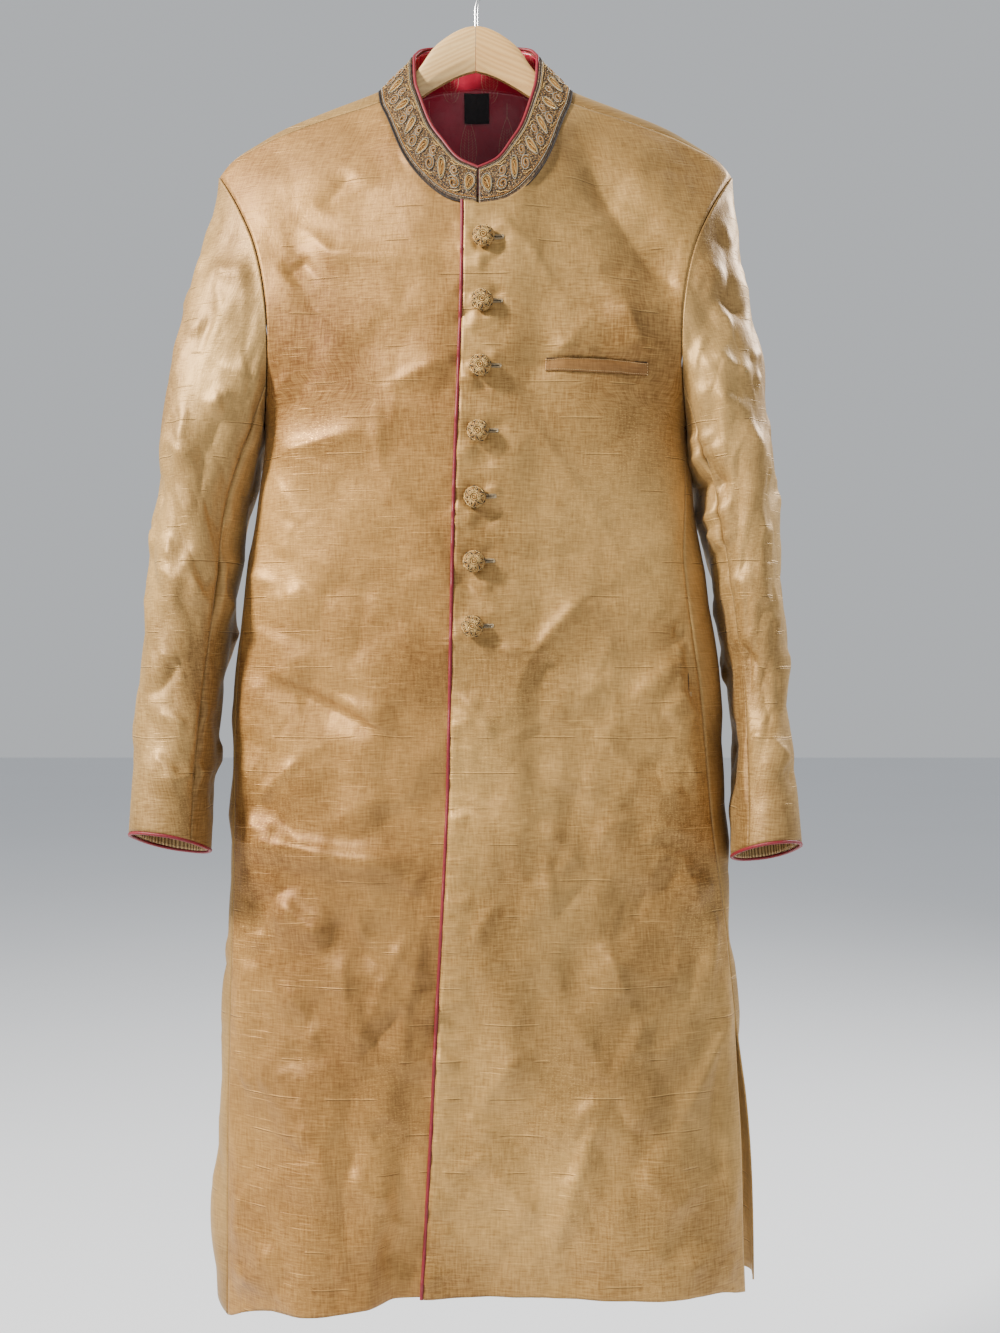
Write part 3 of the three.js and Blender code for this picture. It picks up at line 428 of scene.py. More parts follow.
def loose_creases(seed, count, box, rise, length, lean):
    """Uneven creases at places of their own in a box. lean is the way that most of them run."""
    rng = np.random.default_rng(seed)
    made = []
    for _ in range(count):
        x, z = rng.uniform(box[0], box[1]), rng.uniform(box[2], box[3])
        angle = rng.normal(lean * rng.choice([-1, 1]), 0.55)
        half = rng.uniform(*length) / 2
        bend = rng.normal(0, 0.16) * half
        step = np.array([math.cos(angle), math.sin(angle)])
        turn = np.array([-step[1], step[0]])
        middle = np.array([x, z])
        path = [middle - step * half, middle + turn * bend, middle + step * half]
        lift = rng.uniform(*rise) * rng.choice([-0.8, 1, 1])
        made.append((lift, rng.uniform(4, 9), rng.uniform(8, 20), path))
    return made


def edge_puckers():
    """Short creases that run in from the buttoned front's piping."""
    rng = np.random.default_rng(5)
    made = []
    z = -738.0
    while z > -1280:
        x = float(read(FRONT_EDGE["z"], FRONT_EDGE["x"], z))
        run, slant = rng.uniform(14, 34), rng.normal(0, 6)
        made.append((rng.uniform(0.7, 1.5), rng.uniform(3, 5), rng.uniform(4, 8),
                     [(x - 3, z), (x + run, z + slant)]))
        z -= rng.uniform(13, 23)
    return made


def button_place(k):
    z = BUTTON.first_z - BUTTON.pitch * k
    return float(read(FRONT_EDGE["z"], FRONT_EDGE["x"], z)) + BUTTON.from_edge, z


def button_puckers():
    """The cloth lifts and sinks in short creases round each button."""
    rng = np.random.default_rng(9)
    made = []
    for k in range(BUTTON.count):
        x, z = button_place(k)
        for angle in (-2.5, -1.9, -1.2, -0.6, 0.5, 2.7):
            way = angle + rng.normal(0, 0.16)
            near, far = 9, rng.uniform(22, 36)
            path = [(x + near * math.cos(way), z + near * math.sin(way)),
                    (x + far * math.cos(way), z + far * math.sin(way))]
            made.append((rng.uniform(0.7, 1.5) * rng.choice([-1, 1]), 4, 7, path))
    return made


FRONT_ALL = (FRONT_CREASES + edge_puckers() + button_puckers()
             + loose_creases(11, 50, (-235, 250, -1290, -880), (0.9, 2.4), (22, 95), 0.8)
             + loose_creases(12, 30, (-225, 235, -900, -620), (0.7, 2.0), (24, 85), 0.8)
             + loose_creases(13, 44, (-190, 200, -640, -220), (0.4, 1.2), (30, 110), 0.6))
BACK_ALL = (BACK_CREASES + loose_creases(21, 36, (-240, 250, -1290, -800), (0.9, 2.4), (30, 120), 0.9)
            + loose_creases(22, 30, (-200, 210, -800, -180), (0.6, 1.8), (30, 130), 0.7))


def crumple(x, z, seed, box, spacing, fall):
    """Nearly flat patches of cloth of uneven sizes that meet in sharp lines."""
    rng = np.random.default_rng(seed)
    best = np.full(np.shape(x), -1e9)
    for middle_x in np.arange(box[0], box[1] + spacing, spacing):
        for middle_z in np.arange(box[2], box[3] + spacing, spacing):
            dx = x - middle_x - rng.normal(0, PATCH.jitter) * spacing
            dz = z - middle_z - rng.normal(0, PATCH.jitter) * spacing
            tilt_x, tilt_z = rng.normal(0, PATCH.tilt, 2)
            bowl = (dx * dx + PATCH.squash * dz * dz) / (2 * fall)
            patch = rng.uniform(-PATCH.uneven, PATCH.uneven) + tilt_x * dx + tilt_z * dz - bowl
            best = np.maximum(best, patch)
    return np.maximum(best, CRUMPLE_FLOOR)


def crease_field(x, z, creases):
    return sum(crease_height(x, z, crease) for crease in creases)


# ------------------------------------------------------------------ grids of cloth


def grid_normals(grid, closed=False):
    down = np.gradient(grid, axis=0)
    if closed:
        across = np.roll(grid, -1, 1) - np.roll(grid, 1, 1)
    else:
        across = np.gradient(grid, axis=1)
    normal = np.cross(across, down)
    return normal / np.maximum(np.linalg.norm(normal, axis=-1, keepdims=True), 1e-9)


def run_across(grid):
    """The distance along each row of a grid, from its first point."""
    steps = np.linalg.norm(np.diff(grid, axis=1), axis=-1)
    return np.concatenate([np.zeros((grid.shape[0], 1)), np.cumsum(steps, 1)], 1)


def between(grid, i, j, s, t):
    """A value between rows i and i + 1 and columns j and j + 1 of a grid: s down and t across."""
    return mix(mix(grid[i, j], grid[i, j + 1], t), mix(grid[i + 1, j], grid[i + 1, j + 1], t), s)


def outward(grid, normals, centre):
    """Turns the normals away from a point inside the cloth."""
    way = np.sum((grid - np.asarray(centre, float)) * normals)
    return normals if way > 0 else -normals


def side_share(side, z, face):
    s = section(z)
    armhole = read(ARMHOLE["z"], ARMHOLE["front" if face < 0 else "back"], np.clip(z, UNDERARM_Z, TIP_Z))
    upper = face * (np.sqrt(np.clip(1 - (armhole - side * s.centre) / s.half, 0, 1)) + 0.0005)
    column = ("front " if face < 0 else "back ") + ("left" if side > 0 else "right")
    lower = -np.sqrt(read(SIDE_SEAM["z"], SIDE_SEAM[column], z) / s.half) + face * SEAM_SHARE
    return mix(lower, upper, smooth(UNDERARM_Z, UNDERARM_Z + UNDERARM_EASE, z))


def neckline(side, share):
    past = share > 1
    t = np.where(past, 2 - share, share)
    x = along(NECK["x"], t) * np.where(past, -1, 1)
    return x + side * NECK_LEAN * smooth(NECK_CORNER, 1, t), along(NECK["drop"], t)


def shoulder_seam(share):
    x = mix(NECK_CORNER_X, TIP_X, np.clip(share, 0, 1))
    return x, read(SHOULDER_SEAM["x"], SHOULDER_SEAM["drop"], x)


def row_x(side, top_x, z, k, edge_k, share, settled):
    s = section(z)

    def own(value):
        return side * s.centre + s.half * (1 - value * value)

    pull = (1 - settled) * (own(edge_k) - TIP_X) * share ** 3
    return mix(top_x, own(k), settled) + pull


def front_edge_x(side, z):
    return read(FRONT_EDGE["z"], FRONT_EDGE["x"], z) if side > 0 else np.full_like(z, UNDERLAP_X)


def over_step(x):
    return OVERLAP_STEP * (1 - smooth(34, 64, x))


NECK_STEPS, SHOULDER_STEPS = 6, 7


def front_base(side, share, v):
    """A front panel's middle surface. share runs from its front edge to its side, v from top to hem."""
    share, v = np.meshgrid(share, v)
    place = share * (1 + NECK_STEPS + SHOULDER_STEPS)
    t = np.where(place < 1, mix(NECK_END[side], 1, place), mix(1, NECK_CORNER, (place - 1) / NECK_STEPS))
    neck_x, neck_drop = neckline(side, np.clip(t, NECK_CORNER, 2))
    seam_x, seam_drop = shoulder_seam((place - 1 - NECK_STEPS) / SHOULDER_STEPS)
    on_neck = place <= 1 + NECK_STEPS
    top_x, drop = np.where(on_neck, neck_x, seam_x), np.where(on_neck, neck_drop, seam_drop)
    top_z = ridge_z(top_x) + drop
    low_x = mix(side * front_edge_x(side, np.full_like(v, HEM_Z)), 250, share)
    z = mix(top_z, read(HEM["x"], HEM["front"], side * low_x), v)
    s = section(z)
    edge_k = side_share(side, z, -1)
    start = side * (front_edge_x(side, z) - s.centre) / s.half
    k = mix(-np.sqrt(1 - start), edge_k, share)
    x = row_x(side, top_x, z, k, edge_k, share, smooth(0, 0.16, v))
    points = body_point(side * x, z, -1)
    if side > 0:
        points[..., 1] -= over_step(x)
    return points, share, v


def back_base(share, row):
    """The back's middle surface.

    share runs from -1 to 1. Rows 0 to 2 go over the ridge, and 2 to 3 down to the hem.
    """
    share, row = np.meshgrid(share, row)
    side = np.where(share < 0, -1, 1)
    part = np.abs(share)
    place = part * (NECK_STEPS + SHOULDER_STEPS)
    neck_x, neck_drop = neckline(side, np.minimum(NECK_CORNER * place / NECK_STEPS, NECK_CORNER))
    seam_x, seam_drop = shoulder_seam((place - NECK_STEPS) / SHOULDER_STEPS)
    on_neck = place <= NECK_STEPS
    top_x, top_drop = np.where(on_neck, neck_x, seam_x), np.where(on_neck, neck_drop, seam_drop)
    v = np.clip(row - 2, 0, 1)
    middle = share.shape[1] // 2
    widest = top_x.copy()
    widest[:, middle:] = np.maximum.accumulate(top_x[:, middle:], 1)
    widest[:, :middle] = np.maximum.accumulate(top_x[:, middle - 1::-1], 1)[:, ::-1]
    top_x = mix(top_x, widest + 2 * part, smooth(1.6, 2.0, row))
    start = np.where(top_drop > 0, top_drop + 4 * smooth(0, 6, top_drop), 0)
    hem_z = mix(BACK_HEM_Z, read(HEM["x"], HEM["front"], side * 250), part ** 4)
    above = mix(top_drop + SEAM_GAP, start, (np.clip(row, 0, 2) / 2) ** 0.7)
    drop = np.where(row < 2, above, mix(start, ridge_z(top_x) - hem_z, v))
    z = ridge_z(top_x) - np.abs(drop)
    edge_k = np.where(side > 0, side_share(1, z, 1), side_share(-1, z, 1))
    k = mix(1, edge_k, part)
    x = row_x(side, top_x, z, k, edge_k, part, smooth(0, 0.16, v))
    return body_point(side * x, z, np.where((drop < 0) | (k < 0), -1, 1)), part, v


def front_lift(x, z):
    patches = crumple(x, z, 61, FRONT_BOX, 62, 150)
    patches = patches - crumple(x, z, 62, FRONT_BOX, 84, 250)
    patches = patches - 0.7 * crumple(x, z, 64, FRONT_BOX, 42, 90)
    amount = mix(0.26, 0.75, smooth(-520, -820, z))
    return crease_field(x, z, FRONT_ALL) * CREASE_GAIN + patches * amount


def armhole_point(side, turn):
    down = (1 - np.cos(2 * np.pi * turn)) / 2
    z = mix(TIP_Z, UNDERARM_Z, down)
    face = np.where(turn % 1 < 0.5, -1, 1)
    x = np.where(face < 0, read(ARMHOLE["z"], ARMHOLE["front"], z), read(ARMHOLE["z"], ARMHOLE["back"], z))
    return body_point(side * x, z, face)


def sleeve_point(side, turn, v, inwards=0.0):
    """A point of a sleeve. turn goes once round from the outer side by the front; v runs down it."""
    table = SLEEVES[side]
    cuff_z, front_rise, outer_rise = CUFFS[side]
    turn, v = np.broadcast_arrays(np.asarray(turn, float) % 1, v)
    cos, sin = np.cos(2 * np.pi * turn), np.sin(2 * np.pi * turn)
    outer_share = (1 + cos) / 2
    end_z = cuff_z + front_rise * sin + outer_rise * cos
    z = mix(mix(UNDERARM_Z, TIP_Z, outer_share), end_z, v)
    outer, inner, depth = (read(table["z"], table[c], z) for c in ("outer", "inner", "depth"))
    outer, inner, depth = outer - inwards, inner + inwards, depth - inwards
    across = np.sign(cos) * np.abs(cos) ** (2 / SLEEVE_POWER)
    ahead = np.sign(sin) * np.abs(sin) ** (2 / SLEEVE_POWER)
    x = side * ((outer + inner) / 2 + (outer - inner) / 2 * across)
    ring = np.stack([x, read(table["z"], table["y"], z) - depth * ahead, z], -1)
    spread = (1 - (1 - np.clip(v / CAP_END, 0, 1)) ** 2)[..., None]
    point = mix(armhole_point(side, turn), ring, spread)
    clear = (SEAM_GAP + 0.7 + 1.4 * (1 - outer_share) ** 3) * (1 - spread[..., 0])
    point[..., 0] += side * clear
    point[..., 2] = z
    return point


def collar_point(side, share, up):
    """share runs from the centre back to the centre front, up from the neckline to the top edge."""
    side, share, up = np.broadcast_arrays(side, np.asarray(share, float), up)
    x, drop = neckline(side, share)
    foot = body_point(side * x, ridge_z(x) - np.abs(drop), np.where(drop < 0, -1, 1))
    lean = NECK_LEAN * smooth(NECK_CORNER, 1, share)
    top = np.stack([along(NECK["top_x"], share) * side + lean,
                    along(NECK["top_y"], share), along(NECK["top_z"], share)], -1)
    point = mix(foot, top, mix(-0.05, 1, up)[..., None])
    bulge = np.sin(np.pi * up) * 1.5
    point[..., 0] += side * bulge * np.sin(np.pi * np.minimum(1, share * 1.2))
    point[..., 1] -= bulge * np.cos(np.pi * (1 - share))
    return point


# ------------------------------------------------------------------ meshes


def new_object(name, mesh, material=None):
    made = bpy.data.objects.new(name, mesh)
    bpy.context.scene.collection.objects.link(made)
    if material is not None:
        mesh.materials.clear()
        mesh.materials.append(material)
    return made


def mesh_piece(name, points, faces, material, uv):
    """A closed mesh from points in millimetres, turned the right way out."""
    points = np.asarray(points, float) * MM
    faces = np.asarray(faces)
    corners = points[faces]
    volume = 0.0
    for k in range(1, faces.shape[1] - 1):
        volume += np.sum(corners[:, 0] * np.cross(corners[:, k], corners[:, k + 1]))
    if volume < 0:
        faces = faces[:, ::-1]
    mesh = bpy.data.meshes.new(name)
    mesh.from_pydata(points.tolist(), [], faces.tolist())
    layer = mesh.uv_layers.new(name="UVMap")
    layer.data.foreach_set("uv", (np.asarray(uv) * MM)[faces.ravel()].astype(np.float32).ravel())
    mesh.polygons.foreach_set("use_smooth", [True] * len(mesh.polygons))
    mesh.update()
    return new_object(name, mesh, material)


def wall(name, grid, normals, thickness, material, uv, closed=False):
    """A wall of even thickness on a grid of points."""
    rows, cols = grid.shape[:2]
    points = np.concatenate([(grid + normals * thickness / 2).reshape(-1, 3),
                             (grid - normals * thickness / 2).reshape(-1, 3)])
    index = np.arange(rows * cols).reshape(rows, cols)
    if closed:
        index = np.concatenate([index, index[:, :1]], 1)
    inner = index + rows * cols

    def quads(a, b, c, d):
        return np.stack([a.ravel(), b.ravel(), c.ravel(), d.ravel()], -1)

    def strip(first, second, other_first, other_second):
        return quads(first, second, other_second, other_first)

    faces = [quads(index[:-1, :-1], index[1:, :-1], index[1:, 1:], index[:-1, 1:]),
             quads(inner[:-1, :-1], inner[:-1, 1:], inner[1:, 1:], inner[1:, :-1]),
             strip(index[0, :-1], index[0, 1:], inner[0, :-1], inner[0, 1:]),
             strip(index[-1, 1:], index[-1, :-1], inner[-1, 1:], inner[-1, :-1])]
    if not closed:
        faces += [strip(index[1:, 0], index[:-1, 0], inner[1:, 0], inner[:-1, 0]),
                  strip(index[:-1, -1], index[1:, -1], inner[:-1, -1], inner[1:, -1])]
    uv = np.concatenate([uv.reshape(-1, 2)] * 2)
    return mesh_piece(name, points, np.concatenate(faces), material, uv)


def sewn_uv(grid, start_x=None):
    """Cloth coordinates in millimetres: the distance across each row, and the height."""
    across = run_across(grid[..., :2])
    if start_x is not None:
        across = across + start_x
    return np.stack([across, grid[..., 2]], -1)


# ------------------------------------------------------------------ finishes


class Wire:
    """A node's output that Python's operators work on, each adding its Math node."""

    def __init__(self, finish, socket):
        self.finish, self.socket = finish, socket

    def __add__(self, other):
        return self.finish.math("ADD", self, other)

    def __sub__(self, other):
        return self.finish.math("SUBTRACT", self, other)

    def __rsub__(self, other):
        return self.finish.math("SUBTRACT", other, self)

    def __mul__(self, other):
        return self.finish.math("MULTIPLY", self, other)

    def __truediv__(self, other):
        return self.finish.math("DIVIDE", self, other)

    def __pow__(self, other):
        return self.finish.math("POWER", self, other)

    __radd__ = __add__
    __rmul__ = __mul__


class Finish:
    """One material, built node by node."""

    def __init__(self, name):
        self.material = bpy.data.materials.new(name)
        self.material.use_nodes = True
        self.tree = self.material.node_tree
        self.tree.nodes.clear()

    def node(self, kind, settings=None, inputs=None, output=0):
        made = self.tree.nodes.new(kind)
        for key, value in (settings or {}).items():
            if key == "stops":
                ramp = made.color_ramp.elements
                while len(ramp) < len(value):
                    ramp.new(0.5)
                for stop, (place, colour) in zip(ramp, value):
                    stop.position, stop.color = place, (*colour, 1)
            else:
                setattr(made, key, value)
        for key, value in (inputs or {}).items():
            if isinstance(value, Wire):
                self.tree.links.new(value.socket, made.inputs[key])
            else:
                made.inputs[key].default_value = value
        return Wire(self, made.outputs[output])

    def math(self, operation, *values):
        return self.node("ShaderNodeMath", {"operation": operation}, dict(enumerate(values)))

    def step(self, value, low, high):
        inputs = {"Value": value, "From Min": low, "From Max": high, "To Min": 0.0, "To Max": 1.0}
        return self.node("ShaderNodeMapRange", {"interpolation_type": "SMOOTHSTEP"}, inputs)

    def blend(self, factor, a, b):
        colours = [(*c, 1) if isinstance(c, tuple) else c for c in (a, b)]
        inputs = {0: factor, 6: colours[0], 7: colours[1]}
        return self.node("ShaderNodeMix", {"data_type": "RGBA"}, inputs, 2)

    def cloth_place(self):
        """The cloth's own coordinates, in metres: across and up."""
        uv = self.node("ShaderNodeUVMap", {"uv_map": "UVMap"})
        return self.parts(uv)

    def parts(self, vector):
        split = self.node("ShaderNodeSeparateXYZ", None, {0: vector}).socket.node
        return [Wire(self, split.outputs[k]) for k in range(3)]

    def point(self, x, y, z=0.0):
        return self.node("ShaderNodeCombineXYZ", None, {0: x, 1: y, 2: z})

    def noise(self, x, y, detail=2.0, roughness=0.5, seed=0.0):
        inputs = {"Vector": self.point(x, y, seed), "Scale": 1.0, "Detail": detail, "Roughness": roughness}
        return self.node("ShaderNodeTexNoise", None, inputs)

    def object_noise(self, scale, detail=2.0):
        place = self.node("ShaderNodeTexCoord", None, None, 3)
        return self.node("ShaderNodeTexNoise", None, {"Vector": place, "Scale": scale, "Detail": detail})

    def bump(self, height, strength, distance):
        inputs = {"Height": height, "Strength": strength, "Distance": distance}
        return self.node("ShaderNodeBump", None, inputs)

    def surface(self, **values):
        names = {key: key.replace("_", " ").title().replace("Ior", "IOR") for key in values}
        shader = self.node("ShaderNodeBsdfPrincipled", None, {names[k]: v for k, v in values.items()})
        out = self.tree.nodes.new("ShaderNodeOutputMaterial")
        self.tree.links.new(shader.socket, out.inputs["Surface"])
        return self.material


def raw_silk(name, deep, bright, dust, glitter=1.0):
    """Raw silk: a fine weave with slubs across it, broken lines of thicker yarn, and a worn glitter of metal
    yarn. The slubs and lines carry a painted highlight, a painted shadow lies under each line, and the metal
    specks carry painted glints.
    """
    f = Finish(name)
    across, up, _ = f.cloth_place()
    # fine weave, longer across than up, with threads the other way under it
    weft = f.noise(across * 70, up * 620, 3.0, 0.7)
    warp = f.noise(across * 560, up * 60, 2.0, 0.6, 3.0)
    grain = weft * 0.6 + warp * 0.4
    # fine slubs at every height, in the bump and with a painted highlight
    slub = f.step(f.noise(across * 16, up * 620, 1.0, 0.4, 7.0), 0.66, 0.76)
    # rows of thicker yarn, 33 mm apart, in broken dashes, each with a painted highlight along it and a
    # painted shadow just under it
    wave = f.noise(across * 9, up * 4, 1.0, 0.5, 11.0) * 0.0040
    row = (up + wave) / 0.033
    place = row - f.math("FLOOR", row)
    dash = f.step(f.noise(across * 21, f.math("FLOOR", row) * 7.3, 1.0, 0.4, 5.0), 0.55, 0.62)
    lit = dash * (1 - f.step(f.math("ABSOLUTE", place - 0.5), 0.006, 0.020))
    under = dash * (1 - f.step(f.math("ABSOLUTE", place - 0.470), 0.005, 0.017))
    # broad uneven tone, and patches where the metal yarn shows; its specks are more metallic and carry
    # painted glints
    broad = f.noise(across * 5, up * 4, 3.0, 0.55, 2.0)
    patch = f.step(f.noise(across * 7, up * 4.5, 3.0, 0.6, 9.0), 0.47, 0.68)
    speck = f.step(f.noise(across * 420, up * 900, 1.0, 0.5, 13.0), 0.56, 0.70) * patch * glitter
    tone = f.math("MULTIPLY_ADD", grain - 0.5, 2.3, f.step(broad, 0.28, 0.74) * 0.7 + 0.15)
    colour = f.blend(tone, deep, bright)
    colour = f.blend(f.step(f.noise(across * 3, up * 3, 2.0, 0.5, 21.0), 0.45, 0.75) * 0.45, colour, dust)
    # a lighter copy of the bright tone: the painted highlight on slubs and thicker yarn, and the painted
    # glints of the metal specks
    painted_highlight = tuple(min(1.0, c * 1.35) for c in bright)
    colour = f.blend(slub * 0.30 + lit * 0.45 + speck * 0.5, colour, painted_highlight)
    # a darker copy of the deep tone just under each row: the painted shadow of the thicker yarn
    colour = f.blend(under * 0.6, colour, tuple(c * 0.35 for c in deep))
    crumple = f.noise(across * 60, up * 48, 3.0, 0.6, 17.0)
    height = grain * 0.22 + slub * 0.2 + lit * 0.3 - under * 0.25 + crumple * 0.55
    return f.surface(
        base_color=colour, metallic=speck * 0.30 + 0.36,
        roughness=f.math("MULTIPLY_ADD", grain, 0.30, 0.37) - speck * 0.08,
        specular_ior_level=0.35, sheen_weight=0.08, sheen_roughness=0.4, sheen_tint=(0.85, 0.78, 0.55, 1),
        anisotropic=0.3, normal=f.bump(height, 0.8, 0.0014))


def crimson_satin(name, leaves):
    """Crimson satin; with leaves, thin pale outlines of tall leaves that stand point up in staggered rows."""
    f = Finish(name)
    across, up, _ = f.cloth_place()
    drift = f.noise(across * 40, up * 30, 2.0, 0.5)
    fine = f.noise(across * 200, up * 1800, 1.0, 0.5, 4.0)
    colour = f.blend(drift, (0.26, 0.005, 0.022), (0.50, 0.013, 0.048))
    if leaves:
        step_across, step_up, tall, wide = 0.040, 0.056, 0.044, 0.0105
        row = f.math("FLOOR", up / step_up)
        shift = row * 0.43
        column = across / step_across + shift
        x = (column - f.math("FLOOR", column) - 0.5) * step_across
        q = f.math("MINIMUM", (up / step_up - row) * (step_up / tall), 1.0)
        side = f.math("ABSOLUTE", x)
        half = (q ** 0.45) * ((1 - q) ** 0.95) * (wide * 1.9)
        outline = 1 - f.step(f.math("ABSOLUTE", side - half), 0.00015, 0.00042)
        inner = 1 - f.step(f.math("ABSOLUTE", side - half * 0.52), 0.00010, 0.00034)
        vein = 1 - f.step(side, 0.00012, 0.00032)
        ribs = f.step(f.math("SINE", (q * tall - side * 0.7) * 2400.0), 0.80, 0.98)
        inside = f.step(half - side, 0.0002, 0.0006) * f.step(q, 0.05, 0.12) * (1 - f.step(q, 0.72, 0.80))
        broken = f.step(f.noise(across * 900, up * 900, 1.0, 0.5, 8.0), 0.30, 0.48)
        lines = f.math("MINIMUM", outline + (inner * 0.7 + vein * 0.8 + ribs * 0.55) * inside, 1.0)
        colour = f.blend(lines * broken * 0.62, colour, (0.50, 0.36, 0.24))
    height = fine * 0.12 + f.noise(across * 55, up * 42, 3.0, 0.55, 6.0)
    return f.surface(base_color=colour, roughness=f.math("MULTIPLY_ADD", fine, 0.14, 0.24),
                     anisotropic=0.6, sheen_weight=0.05, sheen_tint=(1.0, 0.3, 0.4, 1), coat_weight=0.05,
                     normal=f.bump(height, 0.5, 0.0014))


def piping_satin():
    f = Finish("crimson_piping")
    length = f.node("ShaderNodeAttribute", {"attribute_name": "along"}, None, 2)
    pull = f.noise(length * 220, 0.0, 2.0, 0.5)
    colour = f.blend(pull, (0.12, 0.002, 0.007), (0.25, 0.005, 0.016))
    ribs = f.math("SINE", length * 5200.0) * 0.15
    return f.surface(base_color=colour, roughness=0.5, sheen_weight=0.05, sheen_tint=(1.0, 0.35, 0.4, 1),
                     normal=f.bump(ribs + pull, 0.5, 0.0006))


def coiled_thread(name, dark, light, metal, rough, pitch=0.00055):
    """Couched thread: the coils of its fine wire show along it, in its bump and in its colour, with a painted
    highlight on each coil and painted shade between them.
    """
    f = Finish(name)
    length = f.node("ShaderNodeAttribute", {"attribute_name": "along"}, None, 2)
    coils = f.math("SINE", length * (2 * math.pi / pitch)) * 0.5 + 0.5
    dull = f.object_noise(420.0, 2.0)
    # the colour runs from the dark tone, painted shade between the coils, to the light tone, a painted
    # highlight on each coil, mixed with random dull patches
    colour = f.blend(coils * 0.6 + dull * 0.4, dark, light)
    return f.surface(base_color=colour, metallic=metal, roughness=f.math("MULTIPLY_ADD", dull, 0.3, rough),
                     normal=f.bump(coils, 0.7, 0.0003))


def dark_ground():
    """The stand's dark cloth under its embroidery, with close rows of fine dark and ochre stitches."""
    f = Finish("zardozi_ground")
    across, up, _ = f.cloth_place()
    stitches = f.noise(across * 700, up * 260, 2.0, 0.6)
    tufts = f.noise(across * 230, up * 230, 2.0, 0.6, 5.0)
    colour = f.blend(f.step(stitches, 0.35, 0.68), (0.020, 0.012, 0.008), (0.16, 0.085, 0.030))
    colour = f.blend(f.step(tufts, 0.52, 0.70) * 0.7, colour, (0.30, 0.21, 0.10))
    return f.surface(base_color=colour, roughness=0.6, metallic=0.15,
                     normal=f.bump(stitches + tufts, 0.9, 0.0007))


def label_cloth():
    f = Finish("black_label_weave")
    across, up, _ = f.cloth_place()
    weave = f.math("SINE", across * 9000.0) * f.math("SINE", up * 9000.0)
    dust = f.noise(across * 300, up * 300, 3.0, 0.6)
    colour = f.blend(dust, (0.006, 0.006, 0.007), (0.030, 0.029, 0.031))
    return f.surface(base_color=colour, roughness=0.75, sheen_weight=0.2,
                     normal=f.bump(weave + dust, 0.6, 0.0003))


def clear_wood(name, dark, light, tilt):
    """Pale hardwood with its grain along the arm, fine pores and a thin lacquer."""
    f = Finish(name)
    x, y, z = f.parts(f.node("ShaderNodeTexCoord", None, None, 3))
    run = x * math.cos(tilt) + z * math.sin(tilt)
    depth = z * math.cos(tilt) - x * math.sin(tilt)
    warp = f.noise(run * 7, depth * 40, 2.0, 0.5) * 0.012
    rings = f.math("SINE", (depth + warp + y * 0.8) * 1500.0) * 0.5 + 0.5
    pores = f.step(f.noise(run * 130, (depth + y) * 2300, 2.0, 0.6, 3.0), 0.58, 0.72)
    broad = f.noise(run * 14, depth * 90, 3.0, 0.55, 8.0)
    colour = f.blend(rings * 0.35 + broad * 0.6, light, dark)
    colour = f.blend(pores * 0.35, colour, tuple(c * 0.55 for c in dark))
    return f.surface(base_color=colour, roughness=f.math("MULTIPLY_ADD", broad, 0.2, 0.34), coat_weight=0.25,
                     coat_roughness=0.25, normal=f.bump(rings * 0.2 - pores * 0.5, 0.35, 0.0004))


def drawn_steel():
    f = Finish("hook_steel")
    length = f.node("ShaderNodeAttribute", {"attribute_name": "along"}, None, 2)
    scratch = f.noise(length * 900, 0.0, 3.0, 0.6)
    tarnish = f.object_noise(160.0, 3.0)
    colour = f.blend(tarnish, (0.36, 0.35, 0.34), (0.66, 0.66, 0.67))
    return f.surface(base_color=colour, metallic=1.0, roughness=f.math("MULTIPLY_ADD", scratch, 0.22, 0.16),
                     normal=f.bump(scratch, 0.15, 0.0002))


def striped_facing():
    """Gold cloth with fine lengthwise ribs, as it shows inside a cuff."""
    f = Finish("striped_cuff_facing")
    across, up, _ = f.cloth_place()
    rib = f.math("SINE", across * (2 * math.pi / 0.0042) + f.noise(across * 60, up * 60) * 2.0) * 0.5 + 0.5
    colour = f.blend(rib, (0.16, 0.085, 0.030), (0.52, 0.35, 0.15))
    return f.surface(base_color=colour, roughness=0.5, metallic=0.2, normal=f.bump(rib, 0.8, 0.0009))


